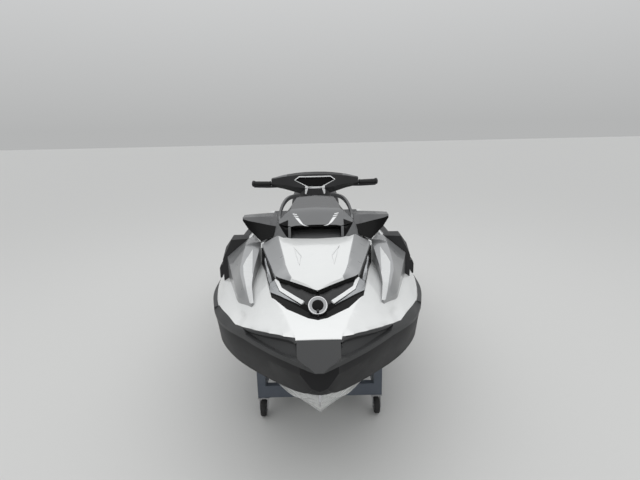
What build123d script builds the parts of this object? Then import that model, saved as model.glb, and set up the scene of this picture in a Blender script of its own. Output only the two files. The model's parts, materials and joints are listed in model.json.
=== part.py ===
"""Three-seat personal watercraft standing on its wheeled cradle.

Row frame: millimetres, +Z up, bow towards -Y, origin on the floor under the middle of the craft.
Lines tables give stations in percent of the length aft of the bow tip, half widths in percent of
the half beam and heights in percent of the reference depth above the keel.
"""
import os
from math import atan2, cos, degrees, pi, radians, sin, tan

from build123d import *

# ---- driving dimensions ----
craft_length = 3450.0
half_beam = 627.0
deck_depth = 1000.0
keel_height = 290.0
seam = 0.3


def aft(distance):
    """Row Y of a place given by its distance aft of the bow tip."""
    return distance - craft_length / 2


def up(height):
    """Row Z of a height above the keel."""
    return keel_height + height


def along(station):
    return aft(station / 100 * craft_length)


def wide(share):
    return share / 100 * half_beam


def high(share):
    return up(share / 100 * deck_depth)


# ---- lines of the craft: station, half width, height ----
keel_line = [(0.6, 0, 44.5), (2, 0, 39), (4.4, 0, 28.5), (7.3, 0, 17.4), (10, 0, 11.2), (14.5, 0, 5),
             (21, 0, 1.2), (30, 0, 0), (60, 0, 0), (100, 0, 0)]
chine_line = [(0.6, 2, 45.5), (3.2, 10, 36.5), (5, 18, 34), (8.1, 33.3, 32), (11.3, 47, 29.8), (17.1, 71.3, 27.8),
              (24.6, 90, 27), (34, 93.5, 26), (50, 94, 25), (75, 92, 24.5), (100, 88, 24)]
rail_line = [(0, 2.5, 52), (0.6, 7, 52), (1.7, 13, 51.6), (5.2, 32.4, 50.6), (10, 54.5, 49.7), (13, 66.5, 48),
             (16.2, 77.5, 46.2), (21.7, 90, 45), (29, 98.5, 44.4), (35, 100, 44), (46, 100, 43.5),
             (64, 98.5, 42.8), (81, 95.5, 42), (100, 89, 41)]
cap_line = [(3.5, 15, 59.8), (5, 23, 59.4), (9.6, 49.5, 54.8), (12.5, 61.5, 52.2), (16, 74, 49.5),
            (21.7, 85.5, 49.7), (29, 94, 51), (35, 96, 51.6), (46, 96.2, 51.5), (64, 94.5, 50), (81, 91.5, 47.5),
            (100, 85, 46)]
shoulder_line = [(3.5, 14, 60), (5, 19, 60.2), (9.6, 46, 56.5), (13, 56, 54.6), (18, 68, 54.8), (21.7, 77, 55.2),
                 (29, 88.5, 56.2), (35, 90.8, 57.2), (46, 90.8, 57), (64, 89, 55), (81, 86, 51), (100, 80, 49)]
crown_line = [(3.5, 12, 60.1), (5, 16, 60.8), (9.6, 26, 64.5), (13, 35, 67.4), (18, 41, 69.2), (21.7, 45, 70),
              (29, 51, 71.5), (35, 54, 72)]
centre_line = [(3.5, 0, 60.2), (5, 0, 61), (7.2, 0, 63), (9.6, 0, 66), (13, 0, 69.5), (18, 0, 73),
               (21.7, 0, 75.5), (29, 0, 77), (35, 0, 77.5)]


def at(line, station):
    """Half width and height of a line at a station, along a smooth curve through its points."""
    places = [p[0] for p in line]
    station = min(max(station, places[0]), places[-1])
    i = max(k for k in range(len(line) - 1) if places[k] <= station)

    def slope(k, axis):
        before, after = line[max(k - 1, 0)], line[min(k + 1, len(line) - 1)]
        return (after[axis] - before[axis]) / (after[0] - before[0])

    step = places[i + 1] - places[i]
    t = (station - places[i]) / step
    values = []
    for axis in (1, 2):
        a, b = line[i][axis], line[i + 1][axis]
        m, n = slope(i, axis) * step, slope(i + 1, axis) * step
        values.append(a * (2 * t**3 - 3 * t**2 + 1) + m * (t**3 - 2 * t**2 + t)
                      + b * (3 * t**2 - 2 * t**3) + n * (t**3 - t**2))
    return wide(values[0]), high(values[1])


def cross_plane(y):
    """A plane across the craft at row Y, with row X and Z as its own axes."""
    return Plane.XZ.offset(-y)


def both_sides(half):
    """A closed outline from the points of its right half, listed from the centre line outwards and back."""
    mirrored = [(-x, z) for x, z in reversed(half) if x > 0]
    return half + mirrored


def loft_across(sections, ruled=False):
    """Lofts closed outlines of (x, z) points, each given with its row Y."""
    faces = []
    for y, outline in sections:
        with BuildSketch(cross_plane(y)) as slice_face:
            with BuildLine():
                Polyline(*outline, close=True)
            make_face()
        faces.append(slice_face.sketch.face())
    return loft(sections=faces, ruled=ruled)


def loft_sideways(sections, ruled=True):
    """Lofts closed outlines of (y, z) points, each given with its row X."""
    faces = []
    for x, outline in sections:
        with BuildSketch(Plane.YZ.offset(x)) as slice_face:
            with BuildLine():
                Polyline(*outline, close=True)
            make_face()
        faces.append(slice_face.sketch.face())
    return loft(sections=faces, ruled=ruled)


def box_between(low, high_corner, mode=Mode.ADD):
    """A box given by its two opposite corners."""
    size = [b - a for a, b in zip(low, high_corner)]
    with Locations(tuple((a + b) / 2 for a, b in zip(low, high_corner))):
        Box(*size, mode=mode)


def side_slab(points, half_width):
    """A side outline of (y, z) points drawn out to both sides of the centre plane."""
    with BuildSketch(Plane.YZ) as outline:
        with BuildLine():
            Polyline(*points, close=True)
        make_face()
    return extrude(outline.sketch, amount=half_width, both=True, mode=Mode.PRIVATE)


# ---- hull ----
hull_stations = (1.6, 3.4, 5.6, 8.2, 11.2, 14.8, 19, 24, 30, 37, 45, 54, 63, 72, 81, 89, 96.5)


def bond_points(lift=0.0):
    return [(along(p), at(rail_line, p)[1] + lift) for p in (0, 1.7, 5.2, 10, 13, 16.2, 21.7, 29, 46, 64, 81, 100)]


def hull_section(station):
    keel_x, keel_z = at(keel_line, station)
    chine_x, chine_z = at(chine_line, station)
    rail_x, rail_z = at(rail_line, station)
    rise = (chine_z - keel_z) / chine_x
    strake_x = chine_x * 0.5
    strake = 0.05 * chine_x
    lip = min(24.0, chine_x * 0.12)
    return both_sides([
        (0, keel_z),
        (strake_x, keel_z + rise * strake_x),
        (strake_x + strake, keel_z + rise * strake_x),
        (strake_x + strake * 1.3, keel_z + rise * (strake_x + strake * 1.3)),
        (chine_x - lip, chine_z),
        (chine_x, chine_z),
        (rail_x * 0.985, rail_z - 30),
        (rail_x * 0.985, rail_z + 60),
        (0, rail_z + 60),
    ])


above_bond = side_slab(bond_points() + [(aft(craft_length + 200), 3000), (aft(-200), 3000)], 900)
below_bond = side_slab(bond_points(seam) + [(aft(craft_length + 200), -500), (aft(-200), -500)], 900)

engine_half, engine_front, engine_rear = 210.0, 1640.0, 2260.0
engine_low = (-engine_half, aft(engine_front), up(120))
engine_high = (engine_half, aft(engine_rear), up(420))

pump_height = 150.0
shaft_radius = 12.5
pump_front = 2860.0
tunnel_half = 150.0
tunnel_roof = 290.0
bucket_bay_front = 3110.0
bucket_bay_roof = 385.0
transom_station = 96.5

intake_start, intake_half = 2350.0, 78.0
intake_duct = side_slab([(aft(intake_start), up(-60)), (aft(pump_front + 2), up(-60)), (aft(pump_front + 2), up(230)),
                         (aft(2760), up(222)), (aft(2560), up(120)), (aft(intake_start), up(12))], intake_half)

bin_front, bin_back, bin_half, bin_floor, bin_wall = 480.0, 770.0, 170.0, 330.0, 4.0
bin_rim_front, bin_rim_back = 700.0, 765.0


def bin_outline(grow, top=0.0):
    return [(aft(bin_front - grow), up(bin_floor - grow)), (aft(bin_back + grow), up(bin_floor - grow)),
            (aft(bin_back + grow), up(bin_rim_back + top)), (aft(bin_front - grow), up(bin_rim_front + top))]


bin_pocket = side_slab(bin_outline(seam, 500), bin_half + seam)

with BuildPart() as hull:
    loft_across([(along(p), hull_section(p)) for p in hull_stations])
    add(above_bond, mode=Mode.SUBTRACT)
    box_between([v - seam for v in engine_low[:2]] + [engine_low[2]], [v + seam for v in engine_high[:2]] + [2000],
                Mode.SUBTRACT)
    box_between((-tunnel_half, aft(pump_front), -100), (tunnel_half, aft(craft_length), up(tunnel_roof)), Mode.SUBTRACT)
    box_between((-tunnel_half, aft(bucket_bay_front), -100), (tunnel_half, aft(craft_length), up(bucket_bay_roof)),
                Mode.SUBTRACT)
    add(intake_duct, mode=Mode.SUBTRACT)
    with Locations(Location((0, aft(engine_rear), up(pump_height)), (-90, 0, 0))):
        Cylinder(shaft_radius + 5, pump_front - engine_rear, align=(Align.CENTER, Align.CENTER, Align.MIN),
                 mode=Mode.SUBTRACT)
    add(bin_pocket, mode=Mode.SUBTRACT)
hull.part.label = "hull"


# ---- deck ----
nose_stations = (3.5, 5, 6.7, 8.6, 10.6, 13, 16, 19, 22, 25.5, 29, 32, 35)
tail_stations = (35, 40, 46, 55, 64, 73, 81, 90, 100)


def deck_edge(station):
    rail, cap = at(rail_line, station), at(cap_line, station)
    inner = 0.985 * rail[0]
    return [(0, rail[1] - 60), (inner, rail[1] - 60), (inner, rail[1] + 3), (min(cap[0], inner - 2), cap[1]), at(shoulder_line, station)]


def nose_section(station):
    return both_sides(deck_edge(station) + [at(crown_line, station), (0, at(centre_line, station)[1])])


def tail_section(station):
    edge = deck_edge(station)
    return both_sides(edge + [(0, edge[-1][1])])


with BuildPart() as nose:
    loft_across([(along(p), nose_section(p)) for p in nose_stations])
with BuildPart() as tail:
    loft_across([(along(p), tail_section(p)) for p in tail_stations])

well_floor = 452.0
well_front, well_back = 1230.0, 2700.0
pedestal_sections = [
    (1207.5, 250, 240, 200, 775), (1400, 250, 215, 160, 765), (1560, 250, 190, 130, 745), (1700, 250, 175, 115, 715),
    (1950, 255, 180, 130, 690), (2250, 260, 200, 165, 700), (2600, 265, 210, 180, 725), (2790, 260, 200, 170, 725),
]

with BuildPart() as pedestal:
    loft_across([(aft(s), both_sides([(0, up(well_floor - 20)), (foot, up(well_floor - 20)),
                                      (waist, up(0.5 * (well_floor + top))), (shoulder, up(top)), (0, up(top))]))
                 for s, foot, waist, shoulder, top in pedestal_sections])

with BuildPart() as wells:
    for side in (1, -1):
        outline = [(245, well_front), (505, well_front + 60), (520, 1700), (510, 2300), (470, well_back), (245, well_back)]
        with BuildSketch(Plane.XY.offset(up(well_floor))):
            with BuildLine():
                Polyline(*[(side * x, aft(s)) for x, s in outline], close=True)
            make_face()
        extrude(amount=600, taper=-6)

bumper_back = 750.0
bumper_top = [(-60, 485), (0, 523), (118, 598), (140, 601), (330, 553), (450, 520), (bumper_back, 497)]
bumper_zone = side_slab([(aft(s), up(z)) for s, z in bumper_top]
                        + [(aft(bumper_back), 200), (aft(-60), 200)], 700)

def plan_slab(points, low, high_level, side=1):
    """A plan outline of (x, s) points drawn up between two heights above the keel."""
    with BuildSketch(Plane.XY.offset(up(low))) as outline:
        with BuildLine():
            Polyline(*[(side * x, aft(s)) for x, s in points], close=True)
        make_face()
    return extrude(outline.sketch, amount=high_level - low, mode=Mode.PRIVATE)


with BuildPart() as deck:
    add(nose.part)
    add(tail.part)
    add(wells.part, mode=Mode.SUBTRACT)
    add(pedestal.part)
    add(bin_pocket, mode=Mode.SUBTRACT)
    add(below_bond, mode=Mode.SUBTRACT)
    add(bumper_zone, mode=Mode.SUBTRACT)
deck.part.label = "deck"


def bumper_section(station):
    rail, cap = at(rail_line, station), at(cap_line, station)
    shoulder = at(shoulder_line, station)
    return both_sides([(0, rail[1] - 60), (rail[0], rail[1] - 60), (rail[0], rail[1] + 16), (cap[0], cap[1]), shoulder,
                       (0, shoulder[1])])


bumper_stations = (0, 1.5, 3.5, 6.7, 10.6, 15, 19, 22)
with BuildPart() as bow_bumper:
    loft_across([(along(p), bumper_section(p)) for p in bumper_stations])
    add(side_slab([(aft(s), up(z) - seam) for s, z in bumper_top]
                  + [(aft(bumper_back - seam), up(200)), (aft(-60), up(200))], 700), mode=Mode.INTERSECT)
    add(below_bond, mode=Mode.SUBTRACT)
    add(bin_pocket, mode=Mode.SUBTRACT)
bow_bumper.part.label = "bow_bumper"

rail_depth, rail_height = 40.0, 46.0


def rub_rail_section(station, side):
    x, z = at(rail_line, station)
    return [(side * (x - rail_depth), z + 4), (side * x, z + 8), (side * x, z + rail_height - 12),
            (side * (x - rail_depth), z + rail_height)]


with BuildPart() as rub_rails:
    for side in (1, -1):
        loft_across([(along(p), rub_rail_section(p, side)) for p in (21.8, 25, 29, 35, 46, 58, 70, 82, 92, 99.8)])
    add(deck.part, mode=Mode.SUBTRACT)
    add(bow_bumper.part, mode=Mode.SUBTRACT)
rub_rails.part.label = "rub_rails"

# ---- storage bin, hood and the panel around it ----
with BuildPart() as storage_bin:
    add(side_slab(bin_outline(0), bin_half))
    add(side_slab(bin_outline(-bin_wall, 500), bin_half - bin_wall), mode=Mode.SUBTRACT)
storage_bin.part.label = "storage_bin"

hood_rows = [  # distance aft, centre height, crease x, crease z, edge x, edge z
    (345, 725, 3, 724.5, 6, 724), (400, 749, 60, 738, 70, 729), (450, 767, 120, 746, 134, 734),
    (500, 784, 141, 762, 196, 740), (600, 815, 164, 797, 229, 763), (700, 843, 186, 834, 260, 787),
    (800, 868, 208, 869, 290, 818)]
hood_skirt, hood_wall = 20.0, 16.0


def hood_section(row, drop=0.0, inset=0.0, skirt=hood_skirt):
    s, centre, crease_x, crease_z, edge_x, edge_z = row
    bottom = up(edge_z - skirt)
    return aft(s), both_sides([(0, bottom), (edge_x - inset, bottom), (edge_x - inset, up(edge_z - drop)),
                               (crease_x - 0.6 * inset, up(crease_z - drop)), (0, up(centre - drop))])


with BuildPart() as hood_form:
    loft_across([hood_section(row) for row in hood_rows])
hood_back = [(0, 747), (143, 760), (206, 790), (296, 801), (400, 801), (400, 900), (0, 900)]
with BuildPart() as hood_hollow:
    loft_across([hood_section(row, hood_wall, hood_wall, hood_skirt + 40) for row in hood_rows[2:]])
    add(plan_slab([(-bin_half, bin_front - 10), (bin_half, bin_front - 10), (bin_half, 900), (-bin_half, 900)], 600, 1000),
        mode=Mode.INTERSECT)
hinge_s, hinge_z = 345.0, 703.9
knuckle_radius, knuckle_half = 4.0, 9.0


def knuckle(gap=0.0):
    """The hood's hinge knuckle, a short round bar across the craft."""
    axle = Location((0, aft(hinge_s), up(hinge_z)), (0, 90, 0))
    return axle * Cylinder(knuckle_radius + gap, 2 * (knuckle_half + gap), mode=Mode.PRIVATE)


with BuildPart() as hood:
    add(hood_form.part)
    add(hood_hollow.part, mode=Mode.SUBTRACT)
    for side in (1, -1):
        add(plan_slab(hood_back, 600, 1000, side), mode=Mode.SUBTRACT)
    add(knuckle())
hood.part.label = "hood"

panel_rows = [  # distance aft, outer x, outer z, inner x, inner z
    (254, 5, 634, 2, 636), (300, 55, 643, 8, 682), (346, 105, 654, 10, 703.5), (400, 165, 665, 70, 708),
    (450, 220, 676, 134, 713), (500, 230, 697, 196, 719), (600, 251, 737, 229, 742), (700, 271, 768, 260, 768),
    (800, 296, 796, 288, 798)]
with BuildPart() as front_panel:
    loft_across([(aft(s), both_sides([(0, up(580)), (xo, up(580)), (xo, up(zo)), (xi, up(zi)), (0, up(zi))]))
                 for s, xo, zo, xi, zi in panel_rows], ruled=True)
    for shift in ((0, 0, -seam), (seam, 0, 0), (-seam, 0, 0), (0, -seam, 0)):
        add(hood_form.part.moved(Location(shift)), mode=Mode.SUBTRACT)
    add(deck.part, mode=Mode.SUBTRACT)
    add(bin_pocket, mode=Mode.SUBTRACT)
    add(knuckle(seam), mode=Mode.SUBTRACT)
front_panel.part.label = "front_panel"

badge_radius, badge_thickness = 42.5, 7.0
badge_plane = Plane(origin=(0, aft(296), up(671)), x_dir=(1, 0, 0), z_dir=(0, -sin(radians(47)), cos(radians(47))))
with BuildPart() as badge:
    with Locations(badge_plane):
        Cylinder(badge_radius, 60, align=(Align.CENTER, Align.CENTER, Align.CENTER))
    add(front_panel.part, mode=Mode.SUBTRACT)
    add(deck.part, mode=Mode.SUBTRACT)
    with BuildSketch(badge_plane.offset(badge_thickness)):
        Circle(badge_radius + 5)
    extrude(amount=80, mode=Mode.SUBTRACT)
    with BuildSketch(badge_plane.offset(-12)):
        Circle(badge_radius + 5)
    extrude(amount=-80, mode=Mode.SUBTRACT)
badge.part.label = "badge"

# ---- side fairings and the pads behind them ----
fairing_rows = [  # distance aft, inner rim, crease, outer edge as (x, z)
    (482, (306, 612), (311, 614), (318, 610)), (560, (321, 646), (352, 622), (368, 600)),
    (620, (329, 671), (378, 662), (407, 594)), (700, (325, 714), (400, 716), (434, 622)),
    (780, (316, 757), (394, 766), (459, 648)), (850, (303, 806), (383, 808), (481, 673)),
    (950, (340, 817), (378, 818), (513, 708))]
pad_rows = [(950.3, (380, 812), (484, 806), (541, 690)), (1050, (400, 812), (486, 811), (538, 738)),
            (1150, (420, 770), (500, 775), (548, 700)), (1300, (430, 640), (520, 650), (560, 600))]


def flank_section(row, side):
    s, rim, crease, edge = row
    return aft(s), [(side * rim[0], up(560)), (side * rim[0], up(rim[1])), (side * crease[0], up(crease[1])),
                    (side * edge[0], up(edge[1])), (side * edge[0], up(560))]


def flank(rows, side, ruled):
    with BuildPart() as piece:
        loft_across([flank_section(row, side) for row in rows], ruled)
        add(deck.part, mode=Mode.SUBTRACT)
    return piece


fairing_left = flank(fairing_rows, 1, False)
fairing_left.part.label = "fairing_left"
fairing_right = flank(fairing_rows, -1, False)
fairing_right.part.label = "fairing_right"
pad_left, pad_right = flank(pad_rows, 1, True), flank(pad_rows, -1, True)
with BuildPart() as bolster_pads:
    add(pad_left.part)
    add(pad_right.part)
bolster_pads.part.label = "bolster_pads"

# ---- cowl, mirrors and gauge, which tilt with the hood ----
cowl_rows = [  # distance aft, then right half from the bottom outwards and up
    (765, [(0, 903), (100, 903), (130, 912), (104, 920), (0, 923)]),
    (800, [(0, 890), (150, 893), (194, 925), (140, 947), (0, 955)]),
    (850, [(0, 870), (170, 880), (202, 935), (136, 987), (0, 993)]),
    (950, [(0, 862), (178, 872), (188, 930), (120, 1010), (0, 1020)]),
    (1050, [(0, 862), (165, 872), (165, 930), (104, 1028), (0, 1037)]),
    (1095, [(0, 870), (140, 880), (140, 930), (92, 1000), (0, 1012)])]
skirt_rows = [(752, [(0, 800), (250, 800), (250, 806), (190, 838), (0, 845)]),
              (802, [(0, 800), (286, 800), (286, 818), (200, 860), (0, 866)]),
              (900, [(0, 800), (270, 800), (270, 830), (195, 880), (0, 885)]),
              (1095, [(0, 800), (215, 800), (215, 830), (160, 885), (0, 895)])]
with BuildPart() as dash_cowl:
    loft_across([(aft(s), both_sides([(x, up(z)) for x, z in half])) for s, half in cowl_rows])
    loft_across([(aft(s), both_sides([(x, up(z)) for x, z in half])) for s, half in skirt_rows], ruled=True)
    add(hood.part, mode=Mode.SUBTRACT)
dash_cowl.part.label = "dash_cowl"

mirror_rows = [  # distance out, then bottom front, ridge, top front, top back and bottom back
    (206, [(800, 872), (835, 905), (880, 950), (985, 952), (985, 850)]),
    (251, [(800, 850), (858, 908), (884, 951), (978.3, 953), (978.3, 838)]),
    (295, [(802, 832), (866, 917), (886, 951), (971.7, 952), (971.7, 850)]),
    (369, [(868, 886), (872, 932), (886, 949), (960.7, 950), (960.7, 890)]),
    (400, [(884, 930), (884, 940), (888, 947), (956, 948), (956, 932)])]
glass_lean = 8.5


def mirror_housing(side):
    with BuildPart() as piece:
        loft_sideways([(side * x, [(aft(s), up(z)) for s, z in outline]) for x, outline in mirror_rows])
        add(dash_cowl.part, mode=Mode.SUBTRACT)
        add(hood.part, mode=Mode.SUBTRACT)
    return piece


mirror_left = mirror_housing(1)
mirror_left.part.label = "mirror_left"
mirror_right = mirror_housing(-1)
mirror_right.part.label = "mirror_right"
with BuildPart() as mirror_glass:
    for side in (1, -1):
        turn = radians(glass_lean)
        back = Plane(origin=(side * 206, aft(985), 0), x_dir=(-cos(turn), side * sin(turn), 0),
                     z_dir=(side * sin(turn), cos(turn), 0))
        with BuildSketch(back.offset(-8)):
            with BuildLine():
                Polyline(*[(-side * (x - 206), up(z)) for x, z in [(222, 862), (222, 942), (376, 940), (386, 934), (360, 898),
                                                                     (300, 862)]], close=True)
            make_face()
        extrude(amount=11)
    add(mirror_left.part, mode=Mode.SUBTRACT)
    add(mirror_right.part, mode=Mode.SUBTRACT)
mirror_glass.part.label = "mirror_glass"
with BuildPart() as gauge:
    with BuildSketch(Plane.XZ.offset(-aft(1085))):
        with Locations((0, up(945))):
            RectangleRounded(170, 90, 20)
    extrude(amount=-30)
    add(dash_cowl.part, mode=Mode.SUBTRACT)
gauge.part.label = "gauge"

# ---- console, seats and rear deck ----
column_foot = Vector(0, aft(1262), up(905))
column_lean = 40.0
column_plane = Plane(origin=column_foot, x_dir=(1, 0, 0), z_dir=(0, sin(radians(column_lean)), cos(radians(column_lean))))
console_rows = [(1110, 150, 130, 865), (1180, 155, 130, 888), (1300, 140, 110, 865), (1420, 130, 100, 815),
                (1560, 120, 92, 775), (1688, 112, 86, 745)]
with BuildPart() as console:
    loft_across([(aft(s), both_sides([(0, up(680)), (foot, up(680)), (shoulder, up(top - 25)), (shoulder - 25, up(top)), (0, up(top))]))
                 for s, foot, shoulder, top in console_rows])
    with BuildSketch(column_plane.offset(-80)):
        Circle(46)
    extrude(amount=100)
    with BuildSketch(column_plane.offset(20)):
        Circle(60)
    extrude(amount=80, mode=Mode.SUBTRACT)
    add(deck.part, mode=Mode.SUBTRACT)
console.part.label = "console"

seat_split = 2240.0
seat_rows_front = [(1690, 112, 100, 735, 752), (1760, 150, 128, 745, 800), (1880, 172, 145, 750, 812),
                   (2060, 186, 158, 750, 818), (2170, 192, 165, 755, 835), (seat_split, 194, 166, 760, 862)]
seat_rows_rear = [(seat_split + seam, 196, 168, 760, 872), (2340, 202, 172, 765, 880), (2560, 204, 174, 765, 888),
                  (2700, 200, 168, 765, 890), (2770, 188, 150, 755, 860)]


def seat_section(row):
    s, flank_x, top_x, flank_z, top_z = row
    return aft(s), both_sides([(0, up(690)), (flank_x, up(690)), (flank_x + 4, up(flank_z)), (top_x, up(top_z - 12)),
                               (top_x - 40, up(top_z)), (0, up(top_z - 2))])


def cushion(rows):
    with BuildPart() as piece:
        loft_across([seat_section(row) for row in rows])
        add(deck.part, mode=Mode.SUBTRACT)
        add(console.part, mode=Mode.SUBTRACT)
    return piece


seat_front = cushion(seat_rows_front)
seat_front.part.label = "seat_front"
seat_rear = cushion(seat_rows_rear)
seat_rear.part.label = "seat_rear"

handle_radius = 15.0
with BuildPart() as grab_handle:
    with BuildLine() as handle_path:
        FilletPolyline((-120, aft(2772), up(640)), (-120, aft(2835), up(780)), (120, aft(2835), up(780)),
                       (120, aft(2772), up(640)), radius=45)
    with BuildSketch(Plane(origin=handle_path.line @ 0, z_dir=handle_path.line % 0)):
        Circle(handle_radius)
    sweep()
    add(deck.part, mode=Mode.SUBTRACT)
    add(seat_rear.part, mode=Mode.SUBTRACT)
grab_handle.part.label = "grab_handle"

mat_thickness = 5.0
mat_front, mat_back = 2850.0, 3425.0
with BuildPart() as traction_mats:
    for side in (1, -1):
        add(plan_slab([(268, 1330), (480, 1380), (492, 1700), (485, 2300), (450, 2640), (300, 2640)],
                      well_floor - 10, well_floor + mat_thickness, side))
    rear_top = [(s, at(shoulder_line, s / craft_length * 100)[1] + mat_thickness) for s in (mat_front, 3100, mat_back)]
    add(side_slab([(aft(s), z) for s, z in rear_top] + [(aft(mat_back), up(470)), (aft(mat_front), up(470))], 460))
    add(deck.part, mode=Mode.SUBTRACT)
traction_mats.part.label = "traction_mats"

with BuildPart() as gunwale_pads:
    for side in (1, -1):
        loft_across([(aft(s), [(side * xi, up(520)), (side * xi, up(top)), (side * (xo - 14), up(top)), (side * xo, up(top - 22)),
                               (side * xo, up(520))])
                     for s, xi, xo, top in [(1125, 560, 603, 606), (1250, 560, 612, 606), (1500, 556, 612, 592),
                                            (1900, 552, 610, 572), (2300, 548, 606, 562), (2600, 548, 600, 548)]])
    add(deck.part, mode=Mode.SUBTRACT)
    add(bolster_pads.part, mode=Mode.SUBTRACT)
    add(rub_rails.part, mode=Mode.SUBTRACT)
gunwale_pads.part.label = "gunwale_pads"

# ---- handlebar ----
bar_radius, grip_radius, grip_length = 11.0, 16.5, 122.0
bar_end = Vector(410, aft(1450), up(1060))
bar_knee = Vector(150, aft(1390), up(1060))
stem_foot = 20.0 + seam
with BuildPart() as handlebar:
    with BuildLine() as bar_path:
        FilletPolyline((-bar_end.X, bar_end.Y, bar_end.Z), (-bar_knee.X, bar_knee.Y, bar_knee.Z),
                       (bar_knee.X, bar_knee.Y, bar_knee.Z), (bar_end.X, bar_end.Y, bar_end.Z), radius=60)
    with BuildSketch(Plane(origin=bar_path.line @ 0, z_dir=bar_path.line % 0)):
        Circle(bar_radius)
    sweep()
    with BuildSketch(column_plane.offset(stem_foot)):
        Circle(24)
    extrude(amount=200 - stem_foot)
handlebar.part.label = "handlebar"

grip_axis = (bar_end - bar_knee).normalized()


def grip_plane(side, back):
    place = bar_end - grip_axis * back
    return Plane(origin=(side * place.X, place.Y, place.Z), z_dir=(side * grip_axis.X, grip_axis.Y, grip_axis.Z))


with BuildPart() as grips:
    for side in (1, -1):
        with BuildSketch(grip_plane(side, grip_length)):
            Circle(grip_radius)
        extrude(amount=grip_length + 4)
        with BuildSketch(grip_plane(side, 12)):
            Circle(grip_radius + 4)
        extrude(amount=16)
    add(handlebar.part, mode=Mode.SUBTRACT)
grips.part.label = "grips"

cover_rows = [(0, [(1312, 1000), (1292, 1045), (1322, 1128), (1400, 1136), (1452, 1100), (1442, 1030), (1385, 990)]),
              (65, [(1314, 1000), (1294, 1045), (1322, 1127), (1400, 1135), (1452, 1100), (1442, 1030), (1387, 990)]),
              (115, [(1330, 1012), (1305, 1050), (1328, 1124), (1402, 1131), (1452, 1098), (1443, 1036), (1392, 1002)]),
              (200, [(1358, 1034), (1342, 1062), (1350, 1113), (1408, 1119), (1456, 1094), (1450, 1048), (1410, 1030)]),
              (283, [(1398, 1046), (1390, 1062), (1394, 1092), (1420, 1097), (1450, 1084), (1450, 1056), (1428, 1044)])]
with BuildPart() as handlebar_cover:
    for side in (1, -1):
        loft_sideways([(side * x, [(aft(s), up(z)) for s, z in outline]) for x, outline in cover_rows])
    with Locations(column_plane.offset(42)):
        Cone(62, 98, 70, align=(Align.CENTER, Align.CENTER, Align.MIN))
    add(handlebar.part, mode=Mode.SUBTRACT)
    add(grips.part, mode=Mode.SUBTRACT)
handlebar_cover.part.label = "handlebar_cover"

lever_points = [(250, 1382), (300, 1378), (385, 1402), (400, 1410), (398, 1418), (380, 1412), (300, 1394), (250, 1398)]
with BuildPart() as levers:
    for side in (1, -1):
        add(plan_slab(lever_points, 1040, 1050, side))
    add(handlebar_cover.part, mode=Mode.SUBTRACT)
    add(grips.part, mode=Mode.SUBTRACT)
levers.part.label = "levers"

# ---- jet pump ----
def across(s, x=0.0, z=pump_height):
    """A plane facing aft at a distance aft of the bow tip."""
    return Plane(origin=(x, aft(s), up(z)), x_dir=(-1, 0, 0), z_dir=(0, 1, 0))


pump_bore, pump_wall = 80.0, 12.0
housing_back, venturi_back = 3080.0, 3200.0
with BuildPart() as pump_housing:
    with BuildSketch(across(pump_front + seam)):
        Circle(110)
    extrude(amount=14)
    with BuildSketch(across(pump_front + seam)):
        Circle(pump_bore + pump_wall)
    extrude(amount=housing_back - pump_front - seam)
    with BuildSketch(across(pump_front - 5)):
        Circle(pump_bore)
    extrude(amount=housing_back - pump_front + 10, mode=Mode.SUBTRACT)
pump_housing.part.label = "pump_housing"

nozzle_pivot = 3225.0
ear_level = 89.0
bucket_hub, bucket_half = 3132.0, 118.0
exit_bore, exit_radius = 43.0, 50.0
with BuildPart() as venturi:
    with BuildSketch(across(housing_back)):
        Circle(pump_bore + pump_wall)
    with BuildSketch(across(venturi_back)):
        Circle(exit_radius)
    loft()
    with BuildSketch(across(housing_back - 0.001)):
        Circle(pump_bore)
    with BuildSketch(across(venturi_back + 0.001)):
        Circle(exit_bore)
    loft(mode=Mode.SUBTRACT)
    with BuildSketch(across(housing_back)):
        Circle(30)
    with BuildSketch(across(housing_back + 100)):
        Circle(8)
    loft()
    with BuildSketch(across(housing_back)):
        with PolarLocations(55, 6):
            Rectangle(60, 5)
    extrude(amount=45)
    for level in (1, -1):
        box_between((-16, aft(3150), up(pump_height + level * ear_level - 5)),
                    (16, aft(nozzle_pivot + 18), up(pump_height + level * ear_level + 5)))
        box_between((-16, aft(3140), up(pump_height + level * 74 - 16)), (16, aft(3165), up(pump_height + level * 74 + 16)))
    with Locations((0, aft(nozzle_pivot), up(pump_height))):
        Cylinder(6.08, 200, mode=Mode.SUBTRACT)
    for side in (1, -1):
        with Locations(Location((side * 68, aft(bucket_hub), up(pump_height)), (0, side * 90, 0))):
            Cylinder(13, bucket_half - 7 - seam - 68, align=(Align.CENTER, Align.CENTER, Align.MIN))
    with BuildSketch(across(housing_back - 5)):
        Circle(pump_bore - 2)
    extrude(amount=4.999, mode=Mode.SUBTRACT)
venturi.part.label = "venturi"

bell_front, nozzle_back = 3205.0, 3355.0
with BuildPart() as steering_nozzle:
    with BuildSketch(across(bell_front)):
        Circle(80)
    with BuildSketch(across(3260)):
        Circle(66)
    with BuildSketch(across(nozzle_back)):
        Circle(50)
    loft(ruled=True)
    with BuildSketch(across(bell_front - 0.001)):
        Circle(74)
    with BuildSketch(across(3260)):
        Circle(58)
    with BuildSketch(across(nozzle_back + 0.001)):
        Circle(43)
    loft(ruled=True, mode=Mode.SUBTRACT)
    for level in (1, -1):
        with Locations((0, aft(nozzle_pivot), up(pump_height + level * 82))):
            Cylinder(6, 24)
steering_nozzle.part.label = "steering_nozzle"

bucket_pivot = Vector(0, aft(bucket_hub), up(pump_height))
bucket_radius, bucket_wall = 252.0, 7.0


def bucket_arc(radius, low, high_angle):
    return [(bucket_pivot.Y + radius * cos(radians(a)), bucket_pivot.Z + radius * sin(radians(a)))
            for a in (low, (low + high_angle) / 2, high_angle)]


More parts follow.
